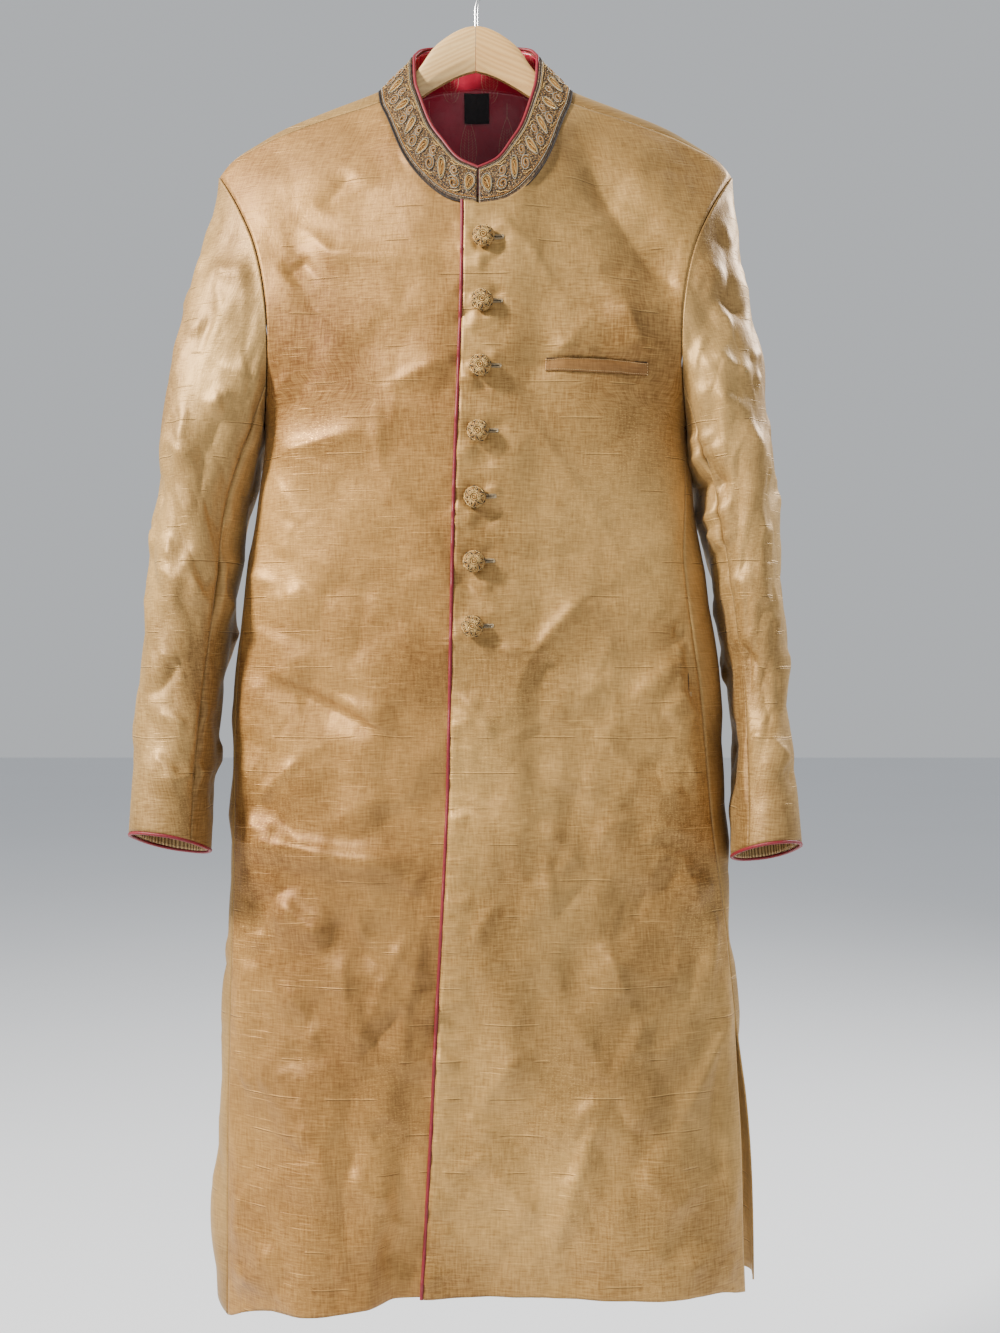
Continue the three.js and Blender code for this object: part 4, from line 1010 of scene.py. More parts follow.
FINISHES = SimpleNamespace(
    over=raw_silk("raw_silk_buttoned_front", (0.200, 0.092, 0.020), (0.56, 0.335, 0.105),
                  (0.29, 0.185, 0.062)),
    under=raw_silk("raw_silk_under_front", (0.180, 0.072, 0.014), (0.52, 0.285, 0.080), (0.28, 0.155, 0.048)),
    back=raw_silk("raw_silk_back", (0.22, 0.115, 0.030), (0.48, 0.290, 0.095), (0.28, 0.19, 0.07)),
    sleeve=raw_silk("raw_silk_sleeves", (0.175, 0.085, 0.021), (0.50, 0.305, 0.102), (0.27, 0.185, 0.072)),
    welt=raw_silk("raw_silk_welt", (0.17, 0.075, 0.019), (0.33, 0.17, 0.052), (0.21, 0.115, 0.042), 0.2),
    satin=crimson_satin("crimson_satin", False),
    leaves=crimson_satin("crimson_satin_with_leaves", True),
    piping=piping_satin(),
    gold=coiled_thread("gold_thread", (0.32, 0.18, 0.05), (0.72, 0.50, 0.20), 0.65, 0.32),
    silver=coiled_thread("silver_thread", (0.14, 0.115, 0.080), (0.52, 0.46, 0.35), 0.75, 0.30),
    ochre=coiled_thread("ochre_thread", (0.18, 0.070, 0.012), (0.50, 0.24, 0.045), 0.25, 0.42),
    black=coiled_thread("black_thread", (0.006, 0.004, 0.003), (0.035, 0.022, 0.014), 0.0, 0.6),
    sewing=coiled_thread("sewing_thread", (0.34, 0.22, 0.09), (0.62, 0.45, 0.22), 0.1, 0.45, 0.0009),
    ground=dark_ground(),
    label=label_cloth(),
    facing=striped_facing(),
    wood_left=clear_wood("pale_wood_left_arm", (0.50, 0.24, 0.065), (0.84, 0.53, 0.20), -0.43),
    wood_right=clear_wood("pale_wood_right_arm", (0.54, 0.29, 0.09), (0.88, 0.60, 0.26), 0.43),
    steel=drawn_steel(),
)

# ------------------------------------------------------------------ geometry node trees


class Growth:
    """A Geometry Nodes tree that grows something on a base, ending in plain mesh with its finish."""

    def __init__(self, name, sizes):
        self.tree = bpy.data.node_groups.new(name, "GeometryNodeTree")
        self.tree.interface.new_socket("Geometry", in_out="INPUT", socket_type="NodeSocketGeometry")
        self.sizes = {}
        for key, kind in sizes.items():
            socket = self.tree.interface.new_socket(key, in_out="INPUT", socket_type=kind)
            self.sizes[key] = socket.identifier
        self.tree.interface.new_socket("Geometry", in_out="OUTPUT", socket_type="NodeSocketGeometry")
        self.start = self.tree.nodes.new("NodeGroupInput")

    def node(self, kind, settings=None, inputs=None):
        made = self.tree.nodes.new(kind)
        for key, value in (settings or {}).items():
            setattr(made, key, value)
        for key, value in (inputs or {}).items():
            if isinstance(value, bpy.types.NodeSocket):
                self.tree.links.new(value, made.inputs[key])
            else:
                made.inputs[key].default_value = value
        return made.outputs

    def end(self, geometry):
        real = self.node("GeometryNodeRealizeInstances", None, {"Geometry": geometry})
        smooth_faces = self.node("GeometryNodeSetShadeSmooth", None, {"Geometry": real[0]})
        coloured = self.node("GeometryNodeSetMaterial", None,
                             {"Geometry": smooth_faces[0], "Material": self.start.outputs["Finish"]})
        out = self.tree.nodes.new("NodeGroupOutput")
        self.tree.links.new(coloured[0], out.inputs[0])
        return self

    def grow(self, name, base_mesh, finish, **sizes):
        base = new_object(name, base_mesh)
        modifier = base.modifiers.new("growth", "NODES")
        modifier.node_group = self.tree
        modifier[self.sizes["Finish"]] = finish
        for key, value in sizes.items():
            modifier[self.sizes[key]] = value
        base.update_tag()
        graph = bpy.context.evaluated_depsgraph_get()
        mesh = bpy.data.meshes.new_from_object(base.evaluated_get(graph), depsgraph=graph)
        bpy.data.objects.remove(base)
        mesh.name = name
        return new_object(name, mesh)


def cord_growth():
    """A round cord along each line of the base."""
    g = Growth("cords", {"Radius": "NodeSocketFloat", "Spacing": "NodeSocketFloat",
                         "Sides": "NodeSocketInt", "Finish": "NodeSocketMaterial"})
    size = g.start.outputs
    line = g.node("GeometryNodeMeshToCurve", None, {"Mesh": size["Geometry"]})
    even = g.node("GeometryNodeResampleCurve", {"mode": "LENGTH"},
                  {"Curve": line[0], "Length": size["Spacing"]})
    place = g.node("GeometryNodeSplineParameter")
    kept = g.node("GeometryNodeStoreNamedAttribute", {"data_type": "FLOAT", "domain": "POINT"},
                  {"Geometry": even[0], "Name": "along", "Value": place["Length"]})
    ring = g.node("GeometryNodeCurvePrimitiveCircle", None,
                  {"Resolution": size["Sides"], "Radius": size["Radius"]})
    tube = g.node("GeometryNodeCurveToMesh", None,
                  {"Curve": kept[0], "Profile Curve": ring[0], "Fill Caps": True})
    return g.end(tube[0])


def bead_growth():
    """Round beads strung along each line of the base."""
    g = Growth("beads", {"Radius": "NodeSocketFloat", "Spacing": "NodeSocketFloat",
                         "Finish": "NodeSocketMaterial"})
    size = g.start.outputs
    line = g.node("GeometryNodeMeshToCurve", None, {"Mesh": size["Geometry"]})
    spots = g.node("GeometryNodeCurveToPoints", {"mode": "LENGTH"},
                   {"Curve": line[0], "Length": size["Spacing"]})
    bead = g.node("GeometryNodeMeshUVSphere", None, {"Segments": 6, "Rings": 3, "Radius": size["Radius"]})
    strung = g.node("GeometryNodeInstanceOnPoints", None, {"Points": spots["Points"], "Instance": bead[0]})
    return g.end(strung[0])


def stitch_growth():
    """Stitches laid end to end along each line of the base."""
    g = Growth("stitches", {"Radius": "NodeSocketFloat", "Spacing": "NodeSocketFloat",
                            "Length": "NodeSocketFloat", "Finish": "NodeSocketMaterial"})
    size = g.start.outputs
    line = g.node("GeometryNodeMeshToCurve", None, {"Mesh": size["Geometry"]})
    spots = g.node("GeometryNodeCurveToPoints", {"mode": "LENGTH"},
                   {"Curve": line[0], "Length": size["Spacing"]})
    thread = g.node("GeometryNodeMeshUVSphere", None, {"Segments": 6, "Rings": 5, "Radius": 1.0})
    shape = g.node("ShaderNodeCombineXYZ", None, {0: size["Radius"], 1: size["Radius"], 2: size["Length"]})
    way = g.node("FunctionNodeAlignRotationToVector", {"axis": "Z"}, {"Vector": spots["Tangent"]})
    sewn = g.node("GeometryNodeInstanceOnPoints", None,
                  {"Points": spots["Points"], "Instance": thread[0], "Rotation": way[0], "Scale": shape[0]})
    return g.end(sewn[0])


def scatter_growth():
    """Short stitches scattered over a face, lying on it and turned all ways."""
    g = Growth("scattered_stitches", {"Radius": "NodeSocketFloat", "Length": "NodeSocketFloat",
                                      "Gap": "NodeSocketFloat", "Seed": "NodeSocketInt",
                                      "Finish": "NodeSocketMaterial"})
    size = g.start.outputs
    spots = g.node("GeometryNodeDistributePointsOnFaces", {"distribute_method": "POISSON"},
                   {"Mesh": size["Geometry"], "Distance Min": size["Gap"], "Density Max": 900000.0,
                    "Seed": size["Seed"]})
    turn = g.node("FunctionNodeRandomValue", {"data_type": "FLOAT"}, {2: 0.0, 3: 6.283, "Seed": size["Seed"]})
    about = g.node("ShaderNodeCombineXYZ", None, {2: turn[1]})
    spin = g.node("FunctionNodeEulerToRotation", None, {0: about[0]})
    way = g.node("FunctionNodeRotateRotation", {"rotation_space": "LOCAL"},
                 {"Rotation": spots["Rotation"], "Rotate By": spin[0]})
    thread = g.node("GeometryNodeMeshUVSphere", None, {"Segments": 4, "Rings": 3, "Radius": 1.0})
    laid = g.node("GeometryNodeTransform", None, {"Geometry": thread[0], "Rotation": (math.pi / 2, 0, 0)})
    shape = g.node("ShaderNodeCombineXYZ", None, {0: size["Radius"], 1: size["Length"], 2: size["Radius"]})
    sewn = g.node("GeometryNodeInstanceOnPoints", None,
                  {"Points": spots["Points"], "Instance": laid[0], "Rotation": way[0], "Scale": shape[0]})
    return g.end(sewn[0])


CORDS, BEADS, STITCHES, SCATTER = cord_growth(), bead_growth(), stitch_growth(), scatter_growth()


def lines_mesh(name, paths, closed=False):
    """A mesh of bare lines through points in millimetres, one line for each path."""
    points, edges = [], []
    for path in paths:
        first = len(points)
        points += [tuple(np.asarray(p, float) * MM) for p in path]
        edges += [(first + k, first + k + 1) for k in range(len(path) - 1)]
        if closed:
            edges.append((len(points) - 1, first))
    mesh = bpy.data.meshes.new(name)
    mesh.from_pydata(points, edges, [])
    return mesh


def cord_piece(name, paths, radius, finish, spacing=1.0, sides=8, closed=False):
    base = lines_mesh(name, paths, closed)
    return CORDS.grow(name, base, finish, Radius=radius * MM, Spacing=spacing * MM, Sides=sides)


def joined(name, parts):
    """Several meshes as one piece that keeps each one's finish."""
    with bpy.context.temp_override(active_object=parts[0], selected_editable_objects=parts,
                                   selected_objects=parts):
        bpy.ops.object.join()
    parts[0].name = name
    parts[0].data.name = name
    return parts[0]


def finish_piece(piece, slot, *nodes):
    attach(piece, "root")
    if nodes:
        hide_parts(*nodes)
    return piece


# ------------------------------------------------------------------ the cloth


def front_panel(side, name, finish, across, down):
    u = np.linspace(0, 1, across)
    even = (1 - np.sqrt(1 - u * (1 - 0.28 ** 2))) / (1 - 0.28)
    grid, share, v = front_base(side, mix(u, even, 0.55), np.linspace(0, 1, down) ** 1.06)
    normals = outward(grid, grid_normals(grid), BODY_MIDDLE)
    lift = front_lift(grid[..., 0], grid[..., 2])
    lift = lift * smooth(0, 0.13, 1 - share) * smooth(0, 0.014, v)
    creased = grid + normals * lift[..., None]
    bent = outward(creased, grid_normals(creased), BODY_MIDDLE)
    piece = wall(name, creased, bent, CLOTH, finish, sewn_uv(grid, grid[:, :1, 0] * side))
    return piece, creased


def back_panel(across, down):
    share = np.linspace(-1, 1, across)
    row = np.concatenate([np.linspace(0, 2, 14)[:-1], 2 + np.linspace(0, 1, down) ** 1.12])
    grid, part, v = back_base(share, row)
    normals = outward(grid, grid_normals(grid), BODY_MIDDLE)
    x, z = grid[..., 0], grid[..., 2]
    patches = crumple(x, z, 63, BACK_BOX, 66, 160)
    patches = patches - 0.8 * crumple(x, z, 65, BACK_BOX, 88, 250)
    patches = patches * mix(0.3, 0.75, smooth(-520, -820, z))
    lift = crease_field(x, z, BACK_ALL) * CREASE_GAIN + patches
    lift = lift * smooth(0, 0.10, 1 - part) * smooth(0, 0.03, v)
    creased = grid + normals * lift[..., None]
    bent = outward(creased, grid_normals(creased), BODY_MIDDLE)
    return wall("back_cloth", creased, bent, CLOTH, FINISHES.back, sewn_uv(grid))


def sleeve_lift(side, points, normals, v, arc, from_seam):
    """Listed creases on the front half, and uneven ones all round."""
    x, z = points[..., 0], points[..., 2]
    facing = smooth(-0.25, 0.35, -normals[..., 1])
    lift = crease_field(x, z, SLEEVE_CREASES[side]) * facing
    loose = loose_creases(40 + side, 95, (-60, 420, -870, -250), (0.9, 2.8), (22, 75), 0.75)
    lift = lift + crease_field(arc, z, loose) * (1 - 0.35 * facing)
    patches = crumple(arc, z, 70 + side, (-30, 440, -920, -220), 50, 130)
    patches = patches - 0.8 * crumple(arc, z, 80 + side, (-30, 440, -920, -220), 64, 200)
    lift = (CREASE_GAIN * lift + SLEEVE_PATCHES * patches) * smooth(0.004, 0.05, v)
    return lift * (1 - smooth(0.885, 0.95, v)) * smooth(0, 7, from_seam)


def sleeve_panel(side, name, start, end, around, down, offset):
    """One of a sleeve's two panels. offset is where its first edge lies in the cloth round the sleeve."""
    turn, v = np.meshgrid(np.linspace(start, end, around), np.linspace(0, 1, down) ** 1.05)
    grid = sleeve_point(side, turn, v)
    tiny = 0.003
    normals = np.cross(sleeve_point(side, turn + tiny, v) - sleeve_point(side, turn - tiny, v),
                       sleeve_point(side, turn, np.minimum(v + 0.01, 1.02))
                       - sleeve_point(side, turn, np.maximum(v - 0.01, 0)))
    normals = normals / np.linalg.norm(normals, axis=-1, keepdims=True)
    axis = np.stack([np.full(down, side * 265.0), np.full(down, -12.0), grid[:, 0, 2]], -1)[:, None]
    way = np.sign(np.sum((grid - axis) * normals))
    normals = normals * way
    arc = run_across(grid)
    from_seam = np.minimum(arc, arc[:, -1:] - arc)
    lift = sleeve_lift(side, grid, normals, v, arc + offset, from_seam)
    creased = grid + normals * lift[..., None]
    bent = grid_normals(creased)
    bent = bent * np.sign(np.sum(bent * normals))
    uv = np.stack([arc + offset, grid[..., 2]], -1)
    return wall(name, creased, bent, CLOTH, FINISHES.sleeve, uv)


def cuff_ring(side, v, inwards, count):
    return sleeve_point(side, np.arange(count) / count, v, inwards)


def cuff(side, word):
    count = 240
    turn = np.arange(count) / count
    rows = []
    for v in np.linspace(0.945, 0.9995, 14):
        gather = 0.5 * np.sin(turn * 2 * np.pi * 44) + 0.35 * np.sin(turn * 2 * np.pi * 17 + v * 60)
        rows.append(sleeve_point(side, turn, v, 2.7 + gather * 0.5))
    grid = np.array(rows)
    normals = grid_normals(grid, True)
    centre = grid.mean((0, 1))
    normals = normals * np.sign(np.sum((grid - centre) * normals))
    arc = np.linspace(0, 270, count)[None].repeat(len(rows), 0)
    lining = wall(f"cuff_facing_{word}", grid, normals, TRIM_CLOTH, FINISHES.facing,
                  np.stack([arc, grid[..., 2]], -1), True)
    finish_piece(lining, "cuff_facing", f"cuff_lining_{word}")
    edge = cord_piece(f"cuff_piping_{word}_cord", [cuff_ring(side, 1.0028, 0.2, 200)], 1.6,
                      FINISHES.piping, 2.2, 10, True)
    finish_piece(edge, "piping", f"cuff_piping_{word}")


def sleeve(side, word):
    gap = 0.0012
    low, high = UNDER_SLEEVE
    top = sleeve_panel(side, f"sleeve_{word}_top_cloth", high + gap, 1 + low - gap, 82, 180, 0)
    finish_piece(top, "shell_silk", f"sleeve_{word}_top")
    under = sleeve_panel(side, f"sleeve_{word}_under_cloth", low, high, 40, 150, UNDER_SLEEVE_ARC)
    finish_piece(under, "shell_silk", f"sleeve_{word}_under")
    cuff(side, word)


back = back_panel(131, 190)
finish_piece(back, "shell_silk", "back")

over, over_grid = front_panel(1, "front_left_cloth", FINISHES.over, 90, 345)
finish_piece(over, "shell_silk", "front_left")
under, _ = front_panel(-1, "front_right_cloth", FINISHES.under, 90, 345)
finish_piece(under, "shell_silk", "front_right")

for side, word in ((1, "left"), (-1, "right")):
    sleeve(side, word)


LIFT_STEP = 1.5
LIFT_X, LIFT_Z = np.arange(-60, 216, LIFT_STEP), np.arange(-770, -280, LIFT_STEP)
LIFT_MAP = front_lift(*np.meshgrid(LIFT_X, LIFT_Z))


def mapped_lift(x, z):
    """The same lift, read from an even grid."""
    place = np.clip((x - LIFT_X[0]) / LIFT_STEP, 0, len(LIFT_X) - 1.001)
    row = np.clip((z - LIFT_Z[0]) / LIFT_STEP, 0, len(LIFT_Z) - 1.001)
    i, j = row.astype(int), place.astype(int)
    s, t = row - i, place - j
    return between(LIFT_MAP, i, j, s, t)


def on_over_front(x, z, out):
    """A point on the buttoned front at a place, moved out from its face."""
    x, z = np.broadcast_arrays(np.asarray(x, float), np.asarray(z, float))

    def face_y(px, pz):
        return front_y(px, pz) - over_step(px) - mapped_lift(px, pz)

    tiny = 1.5
    slope_x = (face_y(x + tiny, z) - face_y(x - tiny, z)) / (2 * tiny)
    slope_z = (face_y(x, z + tiny) - face_y(x, z - tiny)) / (2 * tiny)
    normal = np.stack([slope_x, -np.ones_like(x), slope_z], -1)
    normal = normal / np.linalg.norm(normal, axis=-1, keepdims=True)
    return np.stack([x, face_y(x, z), z], -1) + normal * (CLOTH / 2 + out), normal


def piping_path(edge, inner):
    """The line of a cord sewn along an edge. inner is the row of points just inside it."""
    ahead = np.gradient(edge, axis=0)
    ahead = ahead / np.linalg.norm(ahead, axis=-1, keepdims=True)
    out = edge - inner
    out = out - ahead * np.sum(out * ahead, -1, keepdims=True)
    out = out / np.linalg.norm(out, axis=-1, keepdims=True)
    return edge + out * (PIPING_RADIUS + PIPING_LIFT)


def edge_piping():
    path = piping_path(over_grid[:, 0], over_grid[:, 1])
    piece = cord_piece("front_edge_piping", [path], PIPING_RADIUS, FINISHES.piping, 2.0, 12)
    finish_piece(piece, "piping", "front_piping")


edge_piping()

# ------------------------------------------------------------------ collar


def stand_grid(foot, around, up):
    share = np.linspace(-COLLAR_END, COLLAR_END, around)
    height = np.linspace(1, foot, up)
    share, height = np.meshgrid(share, height)
    return collar_point(np.where(share < 0, -1, 1), np.abs(share), height)


def stand_normals(grid):
    normals = grid_normals(grid)
    return normals * np.sign(np.sum((grid - np.array([0, -20.0, -170.0])) * normals))


STAND = stand_grid(0, 301, 19)
STAND_OUT = stand_normals(STAND)
STAND_STEPS = np.linalg.norm(np.diff(STAND[STAND.shape[0] // 2], axis=0), axis=-1)
STAND_ARC = np.concatenate([[0], np.cumsum(STAND_STEPS)])


def on_stand(arc, height, out):
    """A point on the collar's face: mm round it from the middle of the front, share of its height, mm out."""
    arc, height = np.broadcast_arrays(np.asarray(arc, float), np.asarray(height, float))
    total = STAND_ARC[-1]
    place = np.interp(np.mod(arc, total), STAND_ARC, np.arange(len(STAND_ARC)))
    row = np.clip((1 - height) * (STAND.shape[0] - 1), 0, STAND.shape[0] - 1)
    i, j = np.minimum(row.astype(int), STAND.shape[0] - 2), np.minimum(place.astype(int), STAND.shape[1] - 2)
    s, t = (row - i)[..., None], (place - j)[..., None]
    return between(STAND, i, j, s, t) + between(STAND_OUT, i, j, s, t) * (COLLAR_CLOTH / 2 + out)


def motif(kind):
    """Flat outlines of one motif, in mm across and up from its middle, by thread."""
    turn = np.linspace(0, 2 * np.pi, 34)
    lines = {"gold": [], "silver": [], "ochre": []}
    if kind == "leaf":
        for thread, size in (("silver", 1.0), ("gold", 0.80), ("ochre", 0.56)):
            bend = 2.6 * size * np.sin(turn / 2) ** 2
            x = 4.6 * size * np.sin(turn) * (1 - 0.35 * np.cos(turn)) + bend - 1.2 * size
            lines[thread].append(np.stack([x, -9.2 * size * np.cos(turn)], -1))
        lines["gold"].append(np.array([[0.2, -4.4], [0.6, 0.0], [0.4, 4.4]]))
        for k in (-1, 1):
            lines["ochre"].append(np.array([[k * 1.8, -2.2], [k * 0.6, -0.4], [k * 1.8, 2.2]]))
    elif kind == "scroll":
        wind = np.linspace(0, 1, 40)
        radius = mix(5.4, 1.0, wind)
        for thread, extra in (("silver", 1.0), ("ochre", 0.0)):
            angle = wind * 3.4 * np.pi + 0.6
            x, y = (radius + extra) * np.cos(angle), (radius + extra) * np.sin(angle)
            lines[thread].append(np.stack([x, y - 5.2], -1))
            lines[thread].append(np.stack([-x * 0.82, 6.2 - y * 0.82], -1))
        lines["gold"].append(np.array([[-5.5, -11.5], [-2.5, -12.8], [2.0, -12.2], [5.5, -13.4]]))
        lines["gold"].append(np.array([[-5.8, 12.2], [-1.0, 11.4], [2.6, 13.0], [5.6, 12.0]]))
    return lines


def embroidery():
    """Couched gold, silver and ochre thread in leaves and scrolls."""
    paths = {"gold": [], "silver": [], "ochre": []}
    half = STAND_ARC[-1] / 2
    repeats, high = 18, 40.0
    step = half / repeats
    for side in (-1, 1):
        for k in range(repeats):
            middle = (k + 0.5) * step
            kind = "leaf" if k % 2 == 0 else "scroll"
            lean = 0.30 if k % 4 == 0 else -0.22
            for thread, outlines in motif(kind).items():
                for outline in outlines:
                    x = outline[:, 0] * math.cos(lean) - outline[:, 1] * math.sin(lean)
                    y = outline[:, 0] * math.sin(lean) + outline[:, 1] * math.cos(lean)
                    arc = middle + x * 1.05
                    height = np.clip(0.53 + y * 1.02 / high, 0.17, 0.90)
                    where = arc if side > 0 else 2 * half - arc
                    paths[thread].append(on_stand(where, height, 0.45))
    parts = []
    for thread, radius in (("gold", 0.55), ("silver", 0.50), ("ochre", 0.58)):
        finish = getattr(FINISHES, thread)
        parts.append(cord_piece(f"couched_{thread}", paths[thread], radius, finish, 1.15, 5))
    return joined("collar_couched_threads", parts)


def border_lines():
    arcs = np.linspace(1.5, STAND_ARC[-1] - 1.5, 320)
    parts = []
    beads = ((0.125, 0.62, FINISHES.silver, 0.30), (0.055, 0.55, FINISHES.black, 0.2),
             (0.925, 0.55, FINISHES.silver, 0.25), (0.972, 0.5, FINISHES.black, 0.2))
    for height, radius, finish, out in beads:
        base = lines_mesh("border", [on_stand(arcs, height, out)])
        parts.append(BEADS.grow("border", base, finish, Radius=radius * MM, Spacing=radius * 2.5 * MM))
    for height, radius, finish in ((0.015, 0.75, FINISHES.black), (0.165, 0.45, FINISHES.ochre),
                                   (0.895, 0.42, FINISHES.gold)):
        parts.append(cord_piece("border", [on_stand(arcs, height, 0.3)], radius, finish, 1.6, 6))
    return joined("collar_borders", parts)


def filling():
    """Short bright stitches between the motifs."""
    arcs = np.linspace(1.5, STAND_ARC[-1] - 1.5, 240)
    rows = np.linspace(0.18, 0.88, 14)
    grid = on_stand(arcs[None, :], rows[:, None], 0.12)
    index = np.arange(grid.shape[0] * grid.shape[1]).reshape(grid.shape[:2])
    faces = np.stack([index[:-1, :-1], index[:-1, 1:], index[1:, 1:], index[1:, :-1]], -1).reshape(-1, 4)
    parts = []
    stitches = ((1, FINISHES.gold, 2.9, 1.15, 0.34), (2, FINISHES.ochre, 2.6, 1.3, 0.36),
                (3, FINISHES.silver, 4.0, 0.75, 0.34), (4, FINISHES.black, 2.0, 1.1, 0.42))
    for seed, finish, gap, length, radius in stitches:
        mesh = bpy.data.meshes.new("band")
        mesh.from_pydata((grid.reshape(-1, 3) * MM).tolist(), [], faces.tolist())
        parts.append(SCATTER.grow("filling", mesh, finish, Radius=radius * MM, Length=length * MM,
                                  Gap=gap * MM, Seed=seed))
    return joined("collar_filling", parts)


def collar():
    arc = np.broadcast_to(STAND_ARC[None], STAND.shape[:2])
    high = np.linspace(40, 0, STAND.shape[0])[:, None] * np.ones_like(arc)
    stand = wall("collar_cloth", STAND, STAND_OUT, COLLAR_CLOTH, FINISHES.ground, np.stack([arc, high], -1))
    finish_piece(stand, "embroidery", "collar")
    threads = [finish_piece(made, "embroidery") for made in (embroidery(), border_lines(), filling())]
    inside = stand_grid(0.02, 301, 16)
    normals = stand_normals(inside)
    shift = COLLAR_CLOTH / 2 + TRIM_CLOTH / 2 + SEAM_GAP + 0.2
    inside = inside - normals * shift
    run = run_across(inside)
    uv = np.stack([run - run[:, -1:] / 2 + 22, inside[..., 2] + 78], -1)
    lining = wall("collar_lining_satin", inside, normals, TRIM_CLOTH, FINISHES.leaves, uv)
    finish_piece(lining, "lining_satin", "collar_lining")
    path = piping_path(STAND[0], STAND[1])
    piece = cord_piece("collar_edge_piping", [path], PIPING_RADIUS, FINISHES.piping, 1.6, 10)
    finish_piece(piece, "piping", "collar_piping")


collar()


def neck_lining():
    fall, x = np.meshgrid(np.linspace(-2, 96, 46), np.linspace(-78, 78, 78), indexing="ij")
    top = ridge_z(x) - read([0, 45, 72, 88], [22, 18, 14, 8], np.abs(x))
    grid = body_point(x, top - fall, 1)
    normals = outward(grid, grid_normals(grid), NECK_MIDDLE)
    rng = np.random.default_rng(31)
    ripple = sum(0.5 * np.sin(x / 9.0 * rng.uniform(0.5, 1.1) + fall / rng.uniform(9, 24) + k)
                 for k in range(3))
    grid = grid - normals * (3.4 + 0.4 * ripple)[..., None]
    uv = np.stack([x + 40, grid[..., 2] + 30], -1)
    piece = wall("neck_lining_satin", grid, outward(grid, grid_normals(grid), NECK_MIDDLE), TRIM_CLOTH,
                 FINISHES.leaves, uv)
    finish_piece(piece, "lining_satin", "neck_lining")


def neck_label():
    z, x = np.meshgrid(np.linspace(-134.5, -160, 18), np.linspace(-12, 13, 18), indexing="ij")
    grid = body_point(x, z, 1)
    bow = 0.5 * np.sin((x + 12) / 25 * np.pi) * np.sin((z + 160) / 25.5 * np.pi)
    grid[..., 1] -= 6.4 + bow
    normals = outward(grid, grid_normals(grid), NECK_MIDDLE)
    piece = wall("neck_label_cloth", grid, normals, 0.7, FINISHES.label, np.stack([x, z], -1))
    finish_piece(piece, "label", "neck_label")
    front = body_point(np.linspace(-11.2, 12.2, 12), np.full(12, -135.6), 1)
    front[:, 1] -= 7.0
    rim = STITCHES.grow("neck_label_stitches", lines_mesh("rim", [front]), FINISHES.black,
                        Radius=0.22 * MM, Length=0.8 * MM, Spacing=2.0 * MM)
    finish_piece(rim, "label")


neck_lining()
neck_label()

# ------------------------------------------------------------------ pocket, buttonholes and buttons


def chest_welt():
    up, share = np.meshgrid(np.linspace(1, 0, 10), np.linspace(0, 1, 70), indexing="ij")
    x = mix(WELT.left, WELT.right, share)
    z = WELT.bottom + up * WELT.height - WELT.droop * share
    belly = 0.9 * up ** 2 * np.sin(share * np.pi) + 0.35 * np.sin(up * np.pi)
    grid, normals = on_over_front(x, z, 0)
    grid = grid + normals * (TRIM_CLOTH / 2 + 0.25 + belly)[..., None]
    piece = wall("chest_welt_cloth", grid, outward(grid, grid_normals(grid), (0, 0, -430)), TRIM_CLOTH,
                 FINISHES.welt, np.stack([x, z], -1))
    finish_piece(piece, "welt_silk", "chest_welt")
    rows = []
    for height in (0.92, 0.10):
        share = np.linspace(0.01, 0.99, 60)
        points, out = on_over_front(mix(WELT.left, WELT.right, share),
                                    WELT.bottom + height * WELT.height - WELT.droop * share, 0)
        lifted = 0.9 * height ** 2 * np.sin(share * np.pi) + 0.35 * np.sin(height * np.pi)
        rows.append(points + out * (TRIM_CLOTH + 0.25 + lifted + 0.1)[:, None])
    for x in (WELT.left + 0.8, WELT.right - 0.8):
        low = WELT.bottom - WELT.droop * (x > 100)
        points, out = on_over_front(np.full(8, x), np.linspace(low + 0.5, low + WELT.height - 0.5, 8), 0)
        rows.append(points + out * (TRIM_CLOTH + 0.5))
    # a thin black cord just above the welt: painted shade in the pocket's slit
    slit = np.linspace(0.01, 0.99, 40)
    mouth, _ = on_over_front(mix(WELT.left, WELT.right, slit),
                             WELT.bottom + WELT.height + 0.7 - WELT.droop * slit, 0.05)
    finish_piece(cord_piece("chest_pocket_mouth_shade", [mouth], 0.55, FINISHES.black, 1.6, 6), "welt_silk")
    sewn = STITCHES.grow("chest_welt_stitches", lines_mesh("rows", rows), FINISHES.sewing,
                         Radius=0.20 * MM, Length=0.85 * MM, Spacing=2.1 * MM)
    finish_piece(sewn, "welt_silk")


